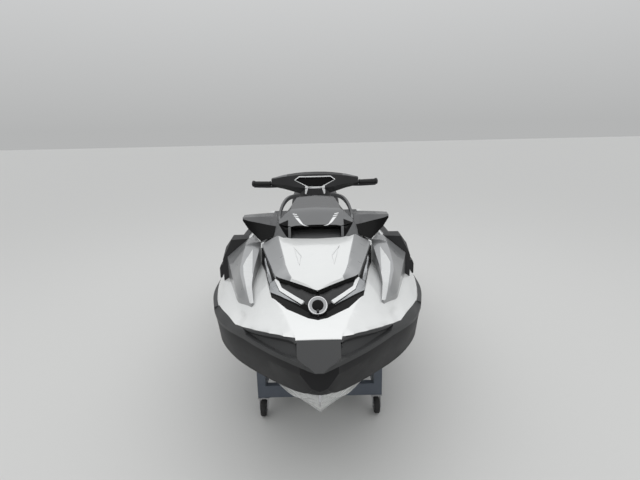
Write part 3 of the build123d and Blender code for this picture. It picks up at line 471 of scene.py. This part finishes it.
def eased(rows, steps):  # rows added between the given ones along curves that never swing past them
    def slope(k, column):
        if k in (0, len(rows) - 1):
            first, last = (rows[0], rows[1]) if k == 0 else (rows[-2], rows[-1])
            return (last[column] - first[column]) / (last[0] - first[0])
        before = (rows[k][column] - rows[k - 1][column]) / (rows[k][0] - rows[k - 1][0])
        after = (rows[k + 1][column] - rows[k][column]) / (rows[k + 1][0] - rows[k][0])
        return 0 if before * after <= 0 else 2 * before * after / (before + after)

    made = []
    for i, (row, following) in enumerate(zip(rows, rows[1:])):
        step = following[0] - row[0]
        for n in range(steps):
            u = n / steps
            made.append([row[0] + u * step] + [
                row[k] * (2 * u**3 - 3 * u**2 + 1) + following[k] * (3 * u**2 - 2 * u**3)
                + slope(i, k) * step * (u**3 - 2 * u**2 + u) + slope(i + 1, k) * step * (u**3 - u**2)
                for k in range(1, len(row))])
    return made + [list(rows[-1])]


def middleOf(face):
    return measured(face.calc_center_median())


# two-tone mouldings: the colour changes along a crease of the piece
chineHeights = [(0, 472), (21, 452), (110, 363), (172, 338), (280, 318), (390, 296), (590, 262), (900, 232),
                (1500, 215), (3450, 215)]


def hullBand(bm):  # cuts the sides along the line where the colour changes
    evened(bm)
    for (s0, z0), (s1, z1) in zip(chineHeights, chineHeights[1:]):
        near = []
        for face in bm.faces:
            spots = [measured(v.co) for v in face.verts]
            along, up = [s for _, s, _ in spots], [z for _, _, z in spots]
            if min(along) < s1 and max(along) > s0 and min(up) < z0 + 1 and max(up) > z1 - 1:
                near.append(face)
        normal = (place(0, s1, z1) - place(0, s0, z0)).cross(Vector((1, 0, 0))).normalized()
        cut(bm, near, place(0, s0, z0), normal, 0.0002)


def hullSide(face):
    _, s, z = middleOf(face)
    return 1 if z > between(chineHeights, s) else 0


# the panel is satin behind the light bars and gloss in front of them; the satin upper facet is also painted a lighter
# black as painted light, where it faces up
barLine = dict(start=(168, 441), end=(66, 338), panelEnd=505)


def panelLitSide(face):
    x, s, _ = middleOf(face)
    (x0, s0), (x1, s1) = barLine["start"], barLine["end"]
    behind = (abs(x) - x1) * (s0 - s1) - (s - s1) * (x0 - x1) < 0
    return 1 if behind and s < barLine["panelEnd"] else 0


def barCut(side):
    (x0, s0), (x1, s1) = barLine["start"], barLine["end"]
    return place(side * x1, s1, 0), Vector((side * (s0 - s1), -(x0 - x1), 0)).normalized()


# the mirror housings are black; above a ridge the upper facet is painted grey as a painted highlight
mirrorRidge = [(206, 905), (251, 908), (295, 917), (369, 932), (400, 940)]


def belowRidge(face):
    x, _, z = middleOf(face)
    return 1 if z < between(mirrorRidge, abs(x)) else 0


# handlebar cover: a sunk scoop in a white frame, and a grey patch painted on each wing's top as a painted highlight
scoop = [(-98.5, 1110.5), (98.5, 1110.5), (124.5, 1093), (41, 1053.5), (-41, 1053.5), (-124.5, 1093)]
scoopFrame = [(-101, 1117), (101, 1117), (131, 1093.5), (62, 1058), (64, 1012), (56, 1009), (43, 1047), (-43, 1047),
              (-56, 1009), (-64, 1012), (-62, 1058), (-131, 1093.5)]
wingHighlight = [(178, 1340), (262, 1395), (264, 1425), (182, 1408)]
# the gloss black of the panel runs on over the deck round its front
panelSurround = [(0, 241), (41, 255), (73, 277), (137, 324), (213, 421), (226, 470), (232, 505), (180, 420), (0, 262)]
# light bars and the silver brackets round them stand proud of the panel
lightBar = [(201, 503), (175, 437), (72, 333), (64, 333), (58, 340), (163, 447), (187, 503)]
bracket = [(222, 452), (168, 410), (76, 332), (175.6, 436.4), (201.6, 503), (226, 503)]
sideTrim = [(228, 506), (240, 560), (249, 600), (259, 650), (268, 700), (264, 700), (252, 650), (238, 600),
            (225, 550), (214, 506)]
# seen from the bow: the bumper's side scoops, and the dark band over the stem
bumperScoop = [(88, 593), (206, 567), (300, 547), (345, 537), (330, 521), (204, 527), (137, 530), (84, 534)]
stemBand = [(-135, 345), (-100, 361), (0, 374), (100, 361), (135, 345), (80, 470), (-80, 470)]

dressing = {
    "hull": dict(paintNames=["hull_gelcoat", "hullTopsides"], pick=hullSide, sharp=30, flatten=0, shape=hullBand,
                 zones=[dict(outline=stemBand, index=1, top=False, facing=0.1, sides=(1,))]),
    "deck": dict(paintNames=["deck_gelcoat", "black_plastic"], bevel=0.003,
                 zones=[dict(outline=panelSurround, index=1)]),
    "bow_bumper": dict(sharp=20, bevel=0.002, zones=[
        dict(outline=bumperScoop, index=0, top=False, facing=0.15, lift=-20.0, wall=9.0)]),
    "rub_rails": dict(bevel=0.003),
    "storage_bin": dict(bevel=0.003),
    # the upper facet behind the light bars takes the lighter satin black, painted light where it faces up
    "front_panel": dict(paintNames=["black_plastic", "panelSatinLit", "trim_silver", "accent_white"], pick=panelLitSide,
                        cuts=[barCut(1), barCut(-1)], zones=[
        dict(outline=bracket, index=2, lift=3.5), dict(outline=sideTrim, index=2, lift=3.5),
        dict(outline=lightBar, index=3, lift=6.0, wall=1.2)]),
    "bolster_pads": dict(bevel=0.004),
    "mirror_left": dict(paintNames=["mirrorTopHighlight", "black_plastic"], pick=belowRidge, bevel=0.0015),
    "mirror_right": dict(paintNames=["mirrorTopHighlight", "black_plastic"], pick=belowRidge, bevel=0.0015),
    "gauge": dict(bevel=0.003), "console": dict(bevel=0.004), "grab_handle": dict(),
    "traction_mats": dict(bevel=0.0015), "gunwale_pads": dict(bevel=0.003), "handlebar": dict(),
    "handlebar_cover": dict(paintNames=["textured_black", "black_plastic", "whiteTrim", "vinylGrey"], sharp=24, zones=[
        dict(outline=scoopFrame, top=False, index=2, facing=0.3, sides=(1,)),
        dict(outline=scoop, top=False, index=1, facing=0.3, lift=-14.0, wall=2.0, sides=(1,)),
        # the grey patch on top of each wing is a painted highlight
        dict(outline=wingHighlight, index=3, facing=0.3)]),
    "levers": dict(bevel=0.002),
    "pump_housing": dict(bevel=0.0015), "venturi": dict(), "steering_nozzle": dict(bevel=0.0015),
    "reverse_bucket": dict(bevel=0.002), "impeller": dict(), "intake_grate": dict(bevel=0.001),
    "ride_plate": dict(bevel=0.002), "sponsons": dict(bevel=0.003), "engine_block": dict(bevel=0.004),
    "bow_eye": dict(bevel=0.0015), "stern_eyes": dict(bevel=0.0015), "mirror_glass": dict(),
    "trolley_frame": dict(bevel=0.0025), "trolley_bunks": dict(bevel=0.006)}
corners = ("front_left", "front_right", "rear_left", "rear_right")
for corner in corners:
    dressing["caster_fork_" + corner] = dict(bevel=0.001)
remade = ["hood", "dash_cowl", "fairing_left", "fairing_right", "badge", "grips", "seat_front", "seat_rear"]
remade += ["caster_wheel_" + corner for corner in corners]
for subpart in frame["record"]["subparts"]:
    node = subpart["node"]
    if node in remade:
        continue
    how = dict(paintNames=[subpart["material_slot"]])
    how.update(dressing[node])
    dress(node, **how)
print("frame pieces dressed")

# hood: a shell in two tones with a dent each side, on a hinge knuckle at its front
hood = dict(
    # aft, centre height, crease x and z, edge x and z
    rows=[(345, 725, 3, 724.5, 6, 724), (400, 749, 60, 738, 70, 729), (450, 767, 120, 746, 134, 734),
          (500, 784, 141, 762, 196, 740), (600, 815, 164, 797, 229, 763), (700, 843, 186, 834, 260, 787),
          (800, 868, 208, 869, 290, 818)],
    # each lengthwise line and how far aft it runs
    ends=[("bottom", 801), ("edge", 801), ("crease", 790), ("middle", 760), ("centre", 747)], middle=0.68,
    silver=[(204, 800), (182, 700), (160, 600), (150, 545), (133, 490), (118, 455), (128, 440), (205, 480),
            (320, 640), (320, 820), (206, 820)],
    dent=[(119, 690), (74, 600), (83.5, 520)], skirt=20, seamShadeEnd=505, wall=13, round=1.5,
    knuckle=dict(spot=(345, 703.9), radius=4, half=9))


def hoodColumn(rows, column, s):  # the point of one lengthwise line at a distance aft
    centre, creaseX, creaseZ, edgeX, edgeZ = (between([(row[0], row[k]) for row in rows], s) for k in range(1, 6))
    share = hood["middle"]
    return {"centre": (0, centre), "middle": (share * creaseX, centre + share * (creaseZ - centre)),
            "crease": (creaseX, creaseZ), "edge": (edgeX, edgeZ), "bottom": (edgeX, edgeZ - hood["skirt"])}[column]


def makeHood():
    rows = eased(hood["rows"], 3)
    sections = []
    for row in rows:
        spots = []
        for column, end in hood["ends"]:
            s = min(row[0], end)
            x, z = hoodColumn(rows, column, s)
            spots.append((x, s, z))
        sections.append([place(*spot) for spot in spots] + [place(-x, s, z) for x, s, z in spots[-2::-1]])
    bm = lofted(sections, closed=False)
    bmesh.ops.remove_doubles(bm, verts=bm.verts, dist=0.0002)
    bm.normal_update()
    if sum(face.normal.z for face in bm.faces) < 0:
        bmesh.ops.reverse_faces(bm, faces=bm.faces)
    paintZone(bm, hood["silver"], 1, facing=-2)
    paintZone(bm, hood["dent"], 0, facing=0.6, lift=-3.5, wall=4.0)
    # the skirt's steep faces near the front are painted black as painted shade, standing in for the dark seam between
    # hood and panel
    for face in bm.faces:
        if abs(face.normal.z) < 0.3 and middleOf(face)[1] < hood["seamShadeEnd"]:
            face.material_index = 2
    bmesh.ops.dissolve_degenerate(bm, dist=0.0012, edges=bm.edges)
    shade(bm, 20)
    piece = addPiece("hood_shell", bm, "hood_lid", ["hood_paint", "silverPaint", "black_plastic"])
    wall = piece.modifiers.new("wall", "SOLIDIFY")
    wall.thickness, wall.offset, wall.use_even_offset = hood["wall"] / 1000, -1, False
    soften(piece, hood["round"] / 1000, 50)
    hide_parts("hood")


def makeKnuckle():
    (s, z), radius, half = hood["knuckle"]["spot"], hood["knuckle"]["radius"] / 1000, hood["knuckle"]["half"]
    bm = bmesh.new()
    bmesh.ops.create_cone(bm, cap_ends=True, segments=24, radius1=radius, radius2=radius, depth=half / 500)
    bmesh.ops.rotate(bm, cent=(0, 0, 0), matrix=Matrix.Rotation(math.pi / 2, 3, "Y"), verts=bm.verts)
    moved(bm, place(0, s, z))
    shade(bm, 40)
    addPiece("hood_knuckle", bm, "hood_lid", ["black_plastic"])


makeHood()
makeKnuckle()

# cowl: the visor and dome over a skirt, a cheek each side of the slot and a rib over each side of the dome
cowl = dict(
    shell=[(765, 0, 913, 100, 914, 130, 918, 104, 923, 0, 926), (800, 0, 908, 150, 910, 194, 927, 140, 949, 0, 957),
           (850, 0, 896, 170, 900, 202, 935, 136, 987, 0, 993), (950, 0, 862, 178, 872, 188, 930, 120, 1010, 0, 1020),
           (1050, 0, 862, 165, 872, 165, 930, 104, 1028, 0, 1037),
           (1095, 0, 870, 140, 880, 140, 930, 92, 1000, 0, 1012)],
    skirt=[(752, 0, 800, 250, 800, 250, 806, 190, 838, 0, 845), (802, 0, 800, 286, 800, 286, 818, 200, 860, 0, 866),
           (900, 0, 800, 270, 800, 270, 830, 195, 880, 0, 885), (1095, 0, 800, 215, 800, 215, 830, 160, 885, 0, 895)],
    cheek=[(768, 132, 830, 185, 830, 158, 900, 132, 918), (800, 128, 840, 240, 832, 192, 926, 128, 930),
           (850, 128, 850, 258, 838, 203, 935, 128, 940), (930, 128, 860, 255, 845, 190, 930, 128, 940)],
    rib=[(842, 196, 930), (880, 197, 950), (930, 190, 981), (980, 176, 1007), (1030, 152, 1026), (1075, 118, 1030),
         (1094, 88, 1008)], ribHalf=(6, 11))
# the cowl's visor is lighter than the dome behind it; the slot, the pillars and the dome's front corners are black
cowlZones = dict(visorEnd=868, visorHalf=206, slotHalf=132.5, slotTop=926, slotEnd=930, postHalf=146, postEnd=790,
                 cheekInner=127, cheekLow=838, cheekHigh=936, cheekEnd=835, pillarTop=(206, 936),
                 pillarFoot=(152, 858), cornerEnd=925, corner=(118, 186))
# visor: two dashes and a tapering stroke on each side
visorMarks = [[(123, 975), (101, 972), (99, 968), (121, 971)], [(117, 966), (93, 963), (91, 959), (114, 962)],
              [(111, 958), (90, 955), (66, 928), (38, 918), (60, 920.5), (84, 933)]]


def pillarCut(side):
    (x1, z1), (x0, z0) = cowlZones["pillarTop"], cowlZones["pillarFoot"]
    return place(side * x0, 0, z0), Vector((side * (z1 - z0), 0, -(x1 - x0))).normalized()


def cowlSide(face):  # 0 visor, 1 dome, 2 black
    zone = cowlZones
    x, s, z = middleOf(face)
    x = abs(x)
    (x1, z1), (x0, z0) = zone["pillarTop"], zone["pillarFoot"]
    if x < zone["slotHalf"] and z < zone["slotTop"] and s < zone["slotEnd"] and face.normal.z < 0.5:
        return 2
    onCheek = x > zone["cheekInner"] and s < zone["cheekEnd"] and zone["cheekLow"] < z < zone["cheekHigh"]
    if onCheek and abs(face.normal.z) < 0.85:
        if x < zone["postHalf"] and s < zone["postEnd"]:
            return 0
        return 0 if (x - x0) * (z1 - z0) > (z - z0) * (x1 - x0) else 2
    onCorner = zone["visorEnd"] < s < zone["cornerEnd"] and zone["corner"][0] < x < zone["corner"][1]
    if onCorner and abs(face.normal.x) > 0.35:
        return 2
    return 0 if s < zone["visorEnd"] and x < zone["visorHalf"] else 1


def pairs(row):  # x and z in turn after the distance aft
    return list(zip(row[1::2], row[2::2]))


def makeCowl():
    made = []
    for rows in (eased(cowl["shell"], 4), cowl["skirt"]):
        sections = []
        for row in rows:
            half = [place(x, row[0], z) for x, z in pairs(row)]
            sections.append(half + [Vector((-spot.x, spot.y, spot.z)) for spot in half[-2:0:-1]])
        made.append(lofted(sections))
    for side in (1, -1):
        made.append(lofted([[place(side * x, row[0], z) for x, z in pairs(row)] for row in cowl["cheek"]]))
        wide, high = cowl["ribHalf"]
        ribCorners = ((-wide, -high), (wide, -high), (wide, high), (-wide, high))
        made.append(lofted([[place(side * (x + dx), s, z + dz) for dx, dz in ribCorners]
                            for s, x, z in eased(cowl["rib"], 2)]))
    bm = join(made)
    lines = [(place(0, s, 0), (0, 1, 0)) for s in (cowlZones["visorEnd"], cowlZones["cornerEnd"])]
    lines += [(place(side * cowlZones["postHalf"], 0, 0), (1, 0, 0)) for side in (1, -1)]
    lines += [pillarCut(1), pillarCut(-1)]
    for point, normal in lines:
        cut(bm, bm.faces[:], point, normal)
    bm.normal_update()
    for face in bm.faces:
        face.material_index = cowlSide(face)
    for mark in visorMarks:
        paintZone(bm, mark, 3, top=False, facing=0.1)
    shade(bm, 32)
    piece = addPiece("cowl_shell", bm, "hood_lid", ["cowl_plastic", "cowlDome", "black_plastic", "whiteTrim"])
    soften(piece, 0.0012, 32)
    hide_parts("dash_cowl")


makeCowl()

# fairings: blades with a white top and a silver outer side
fairing = dict(
    # aft, then x and z of the inner rim, crease and outer edge
    rows=[(482, 306, 612, 311, 614, 318, 610), (560, 321, 646, 352, 622, 368, 600),
          (620, 329, 671, 378, 662, 407, 594), (700, 325, 714, 400, 716, 434, 622),
          (780, 316, 757, 394, 766, 459, 648), (850, 303, 806, 383, 808, 481, 673),
          (950, 340, 817, 378, 818, 513, 708)], foot=560,
    white=[(345, 815), (372, 762), (386, 718), (378, 670), (364, 620), (336, 525), (322, 476), (300, 476), (312, 560),
           (318, 620), (333, 675), (341, 770)])


def makeFairing(node, side):
    sections = []
    for s, rimX, rimZ, creaseX, creaseZ, edgeX, edgeZ in eased(fairing["rows"], 3):
        half = [(rimX, fairing["foot"]), (rimX, rimZ), (creaseX, creaseZ), (edgeX, edgeZ), (edgeX, fairing["foot"])]
        sections.append([place(side * x, s, z) for x, z in half])
    bm = lofted(sections)
    paintZone(bm, fairing["white"], 1, facing=0.3, sides=(side,))
    bmesh.ops.dissolve_degenerate(bm, dist=0.0012, edges=bm.edges)
    shade(bm, 18)
    piece = addPiece("finished_" + node, bm, "craft", ["silverPaint", "fairing_paint"])
    soften(piece, 0.0015, 50)
    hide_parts(node)


makeFairing("fairing_left", 1)
makeFairing("fairing_right", -1)
print("hood, cowl and fairings made")

# badge: a bare disc with a raised rim, a bright ring and a dark middle
badge = dict(radius=42.3, spot=(0, 296, 671), lean=47, ring=0.60)


def makeBadge():
    r, lean = badge["radius"] / 1000, math.radians(badge["lean"])
    inner = badge["ring"] * r
    profile = [(0, -0.006), (r, -0.006), (r, 0.0045), (r - 0.0015, 0.0066), (r - 0.004, 0.0068), (r - 0.0058, 0.0054),
               (inner + 0.001, 0.0052), (inner, 0.0046), (inner - 0.001, 0.0052), (0.3 * r, 0.0060), (0, 0.0062)]
    spot, axis = place(*badge["spot"]), Vector((0, -math.sin(lean), math.cos(lean)))
    bm = moved(spun(profile, 64, axis), spot)
    shade(bm)
    for face in bm.faces:
        away = face.calc_center_median() - spot
        aside = (away - axis * away.dot(axis)).length
        face.material_index = 1 if aside < inner else 2 if aside < r - 0.0052 and away.dot(axis) > 0 else 0
    piece = addPiece("badge_disc", bm, "craft", ["badge_metal", "black_plastic", "silverPaint"])
    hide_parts("badge")


makeBadge()

# grips: ribbed rubber sleeves with end flanges
grip = dict(barEnd=(410, 1450, 1060), knee=(150, 1390, 1060), ribs=17, pitch=6.0, low=0.0148, high=0.0164)


def makeGrips():
    sleeves = []
    for side in (1, -1):
        tip, knee = place(*grip["barEnd"]), place(*grip["knee"])
        tip.x, knee.x = side * tip.x, side * knee.x
        axis = (tip - knee).normalized()
        profile = [(0, 0.0038), (0.017, 0.0038), (0.0203, 0.0012), (0.0203, -0.009), (0.0180, -0.0118),
                   (grip["low"], -0.0118)]
        for rib in range(grip["ribs"]):
            start = -0.0135 - rib * grip["pitch"] / 1000
            profile += [(grip["low"], start), (grip["high"], start - 0.0008), (grip["high"], start - 0.0036),
                        (grip["low"], start - 0.0044)]
        profile += [(grip["low"], -0.1165), (0.0185, -0.1180), (0.0185, -0.1212), (0.0112, -0.1216), (0, -0.1216)]
        sleeves.append(moved(spun(profile, 32, axis), tip))
    bm = join(sleeves)
    shade(bm)
    piece = addPiece("grip_sleeves", bm, "steering_bar", ["grip_rubber"])
    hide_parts("grips")


makeGrips()

# caster wheels: a rounded tyre on a dished hub, with an axle nut each side
wheel = dict(radius=50.0, half=17.0, tyre=13.5, height=50.0, trail=-32,
             corners=dict(zip(corners, ((345, 905), (-345, 905), (345, 2765), (-345, 2765)))))


def makeWheels():
    r, h = wheel["radius"] / 1000, wheel["half"] / 1000
    half = [(r - 0.0002, 0.0), (r, h * 0.45), (r - 0.0018, h * 0.78), (r - 0.006, h * 0.97), (r - 0.013, h),
            (r - 0.0145, h * 0.8), (0.020, h * 0.62), (0.0115, h * 0.68), (0.0105, h * 0.98), (0.0065, h)]
    profile = [(0.0, h)] + half[::-1] + [(x, -z) for x, z in half[1:]] + [(0.0, -h)]
    for corner, (x, s) in wheel["corners"].items():
        centre = place(x, s + wheel["trail"], wheel["height"] - craft["keel"] * 1000)
        bm = moved(spun(profile, 48, (1, 0, 0)), centre)
        shade(bm, 35)
        for face in bm.faces:
            middle = face.calc_center_median() - centre
            face.material_index = 1 if math.hypot(middle.y, middle.z) < r - wheel["tyre"] / 1000 else 0
        piece = addPiece("wheel_tyre_" + corner, bm, "wheel_" + corner, ["caster_tyre", "hubPlastic"])
        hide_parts("caster_wheel_" + corner)


makeWheels()
print("badge, grips and wheels made")

# seats: foam under stitched vinyl
seat = dict(voxel=0.007, smooth=10, frames=14, pressure=3.0, cap=0.006, seamDepth=0.0035, seamWidth=0.0045,
            held=0.03, base=0.02, crown=0.25, endGap=0.0005, slant=0.35,
            panel=[(1690, 66), (1800, 92), (2000, 112), (2236, 122), (2400, 132), (2600, 132), (2760, 112)],
            cross={"seat_front": (1765, 1990), "seat_rear": (2330, 2540)})


def seatPanel(s):
    return between(seat["panel"], s)


def inflate(piece):  # a short cloth run that swells the pad a little, with the swelling capped
    start = [v.co.copy() for v in piece.data.vertices]
    hold = piece.vertex_groups.new(name="hold")
    low = min(v.co.z for v in piece.data.vertices)
    for v in piece.data.vertices:
        if v.co.z < low + seat["held"]:
            hold.add([v.index], 1.0, "REPLACE")
    cloth = piece.modifiers.new("cloth", "CLOTH")
    cloth.settings.use_pressure = True
    cloth.settings.uniform_pressure_force = seat["pressure"]
    cloth.settings.effector_weights.gravity = 0
    cloth.settings.quality = 4
    cloth.settings.tension_stiffness = 60
    cloth.settings.bending_stiffness = 6
    cloth.settings.vertex_group_mass = "hold"
    cloth.collision_settings.use_collision = False
    cloth.point_cache.frame_start, cloth.point_cache.frame_end = 1, seat["frames"]
    for frameNumber in range(1, seat["frames"] + 1):
        bpy.context.scene.frame_set(frameNumber)
    result = piece.evaluated_get(bpy.context.evaluated_depsgraph_get())
    after = [v.co.copy() for v in result.data.vertices]
    piece.modifiers.remove(cloth)
    piece.vertex_groups.remove(hold)
    for v, a, b in zip(piece.data.vertices, start, after):
        step = b - a
        if step.length > seat["cap"]:
            step = step.normalized() * seat["cap"]
        v.co = a + step
    bpy.context.scene.frame_set(1)


def makeSeat(node):
    source = nodes[node]
    bm = bmesh.new()
    bm.from_mesh(source.data)
    bmesh.ops.remove_doubles(bm, verts=bm.verts, dist=0.00002)
    piece = addPiece("pad_" + node, bm, "craft", ["vinyl", "vinylGrey"])
    remesh = piece.modifiers.new("remesh", "REMESH")
    remesh.mode, remesh.voxel_size = "VOXEL", seat["voxel"]
    solid = bpy.data.meshes.new_from_object(piece.evaluated_get(bpy.context.evaluated_depsgraph_get()))
    piece.modifiers.remove(remesh)
    old, piece.data = piece.data, solid
    bpy.data.meshes.remove(old)
    low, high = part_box(node)
    bm = bmesh.new()
    bm.from_mesh(piece.data)
    free = [v for v in bm.verts if v.co.z > low.z + seat["base"]]
    for _ in range(seat["smooth"]):
        bmesh.ops.smooth_vert(bm, verts=free, factor=0.5, use_axis_x=True, use_axis_y=True, use_axis_z=True)
    bm.to_mesh(piece.data)
    bm.free()
    inflate(piece)
    # seams: the vinyl pulls in along the panel's edges and the cross seams
    bm = bmesh.new()
    bm.from_mesh(piece.data)
    bmesh.ops.subdivide_edges(bm, edges=bm.edges, cuts=1, use_grid_fill=True)
    for _ in range(2):
        bmesh.ops.smooth_vert(bm, verts=bm.verts, factor=0.5, use_axis_x=True, use_axis_y=True, use_axis_z=True)
    bm.normal_update()
    for v in bm.verts:
        s = measured(v.co)[1]
        if v.normal.z < seat["crown"]:
            continue
        aside = abs(v.co.x) - seatPanel(s) / 1000
        pull = math.exp(-(aside / seat["seamWidth"]) ** 2)
        if aside < 0:
            for cross in seat["cross"][node]:
                line = (s - cross) / 1000 - seat["slant"] * abs(v.co.x)
                pull = max(pull, math.exp(-(line / seat["seamWidth"]) ** 2))
        v.co -= v.normal * seat["seamDepth"] * pull
    for v in bm.verts:
        v.co.x = min(max(v.co.x, low.x), high.x)
        v.co.y = min(max(v.co.y, low.y + seat["endGap"]), high.y - seat["endGap"])
        v.co.z = min(max(v.co.z, low.z), high.z)
    for face in bm.faces:
        face.smooth = True
        x, s, _ = middleOf(face)
        face.material_index = 1 if abs(x) < seatPanel(s) and face.normal.z > seat["crown"] else 0
    bm.to_mesh(piece.data)
    bm.free()
    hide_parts(node)


makeSeat("seat_front")
makeSeat("seat_rear")
print("seats made")


def meshOf(data):  # a curve or a text as a bmesh
    carrier = bpy.data.objects.new(data.name, data)
    mesh = bpy.data.meshes.new_from_object(carrier)
    bm = bmesh.new()
    bm.from_mesh(mesh)
    bpy.data.objects.remove(carrier)
    bpy.data.meshes.remove(mesh)
    return bm


# piping in the seat seams
piping = dict(radius=0.0021, step=45, above=0.0004)


def makePiping(node, first, last):
    pad = bpy.data.objects["pad_" + node]
    bpy.context.view_layer.update()
    data = bpy.data.curves.new("piping", "CURVE")
    data.dimensions, data.bevel_depth, data.bevel_resolution, data.use_fill_caps = "3D", piping["radius"], 3, True
    for side in (1, -1):
        points = []
        for s in range(first, last, piping["step"]):
            hit, spot, _, _ = pad.ray_cast(place(side * seatPanel(s), s, 1200), Vector((0, 0, -1)))
            if hit:
                points.append(spot + Vector((0, 0, piping["above"])))
        line = data.splines.new("NURBS")
        line.points.add(len(points) - 1)
        for point, spot in zip(line.points, points):
            point.co = (*spot, 1)
        line.order_u, line.use_endpoint_u, line.resolution_u = 3, True, 6
    bm = meshOf(data)
    bmesh.ops.recalc_face_normals(bm, faces=bm.faces)
    shade(bm, 50)
    addPiece("piping_" + node, bm, "craft", ["vinylGrey"])


makePiping("seat_front", 1760, 2236)
makePiping("seat_rear", 2250, 2740)

# instrument: ticks and numbers round two dials, on the dark screen
dials = dict(face=1115, height=945, places=(-44, 44), radius=0.029, ticks=25, sweep=250, proud=0.25, everyLong=6,
             long=(0.0009, 0.004, 0.0004), short=(0.0005, 0.0024, 0.0004), letter=0.0075, inset=0.0085,
             numbers=(("0", "20", "40", "60", "80"), ("0", "2", "4", "6", "8")))


def textMesh(words, size):
    data = bpy.data.curves.new("words", "FONT")
    data.body, data.size, data.extrude, data.align_x, data.align_y = words, size, 0.0002, "CENTER", "CENTER"
    return meshOf(data)


def makeDials():
    marks = []
    upright = Matrix(((-1, 0, 0), (0, 0, 1), (0, 1, 0))).to_4x4()  # faces aft, upright
    sweep = math.radians(dials["sweep"])
    for x, numbers in zip(dials["places"], dials["numbers"]):
        centre = place(x, dials["face"] + dials["proud"], dials["height"])
        for k in range(dials["ticks"]):
            tick = bmesh.new()
            bmesh.ops.create_cube(tick, size=1)
            bmesh.ops.scale(tick, vec=dials["short" if k % dials["everyLong"] else "long"], verts=tick.verts)
            moved(tick, (0, dials["radius"], 0))
            turn = sweep * (k / (dials["ticks"] - 1) - 0.5)
            bmesh.ops.rotate(tick, cent=(0, 0, 0), matrix=Matrix.Rotation(-turn, 3, "Z"), verts=tick.verts)
            marks.append((tick, centre))
        for k, number in enumerate(numbers):
            turn, reach = sweep * (k / (len(numbers) - 1) - 0.5), dials["radius"] - dials["inset"]
            word = moved(textMesh(number, dials["letter"]), (reach * math.sin(turn), reach * math.cos(turn), 0))
            marks.append((word, centre))
    for bm, centre in marks:
        bmesh.ops.transform(bm, matrix=upright, verts=bm.verts)
        moved(bm, centre)
    whole = join([bm for bm, _ in marks])
    bmesh.ops.recalc_face_normals(whole, faces=whole.faces)
    addPiece("dial_marks", whole, "hood_lid", ["whiteTrim"])


makeDials()
print("piping and dials made")
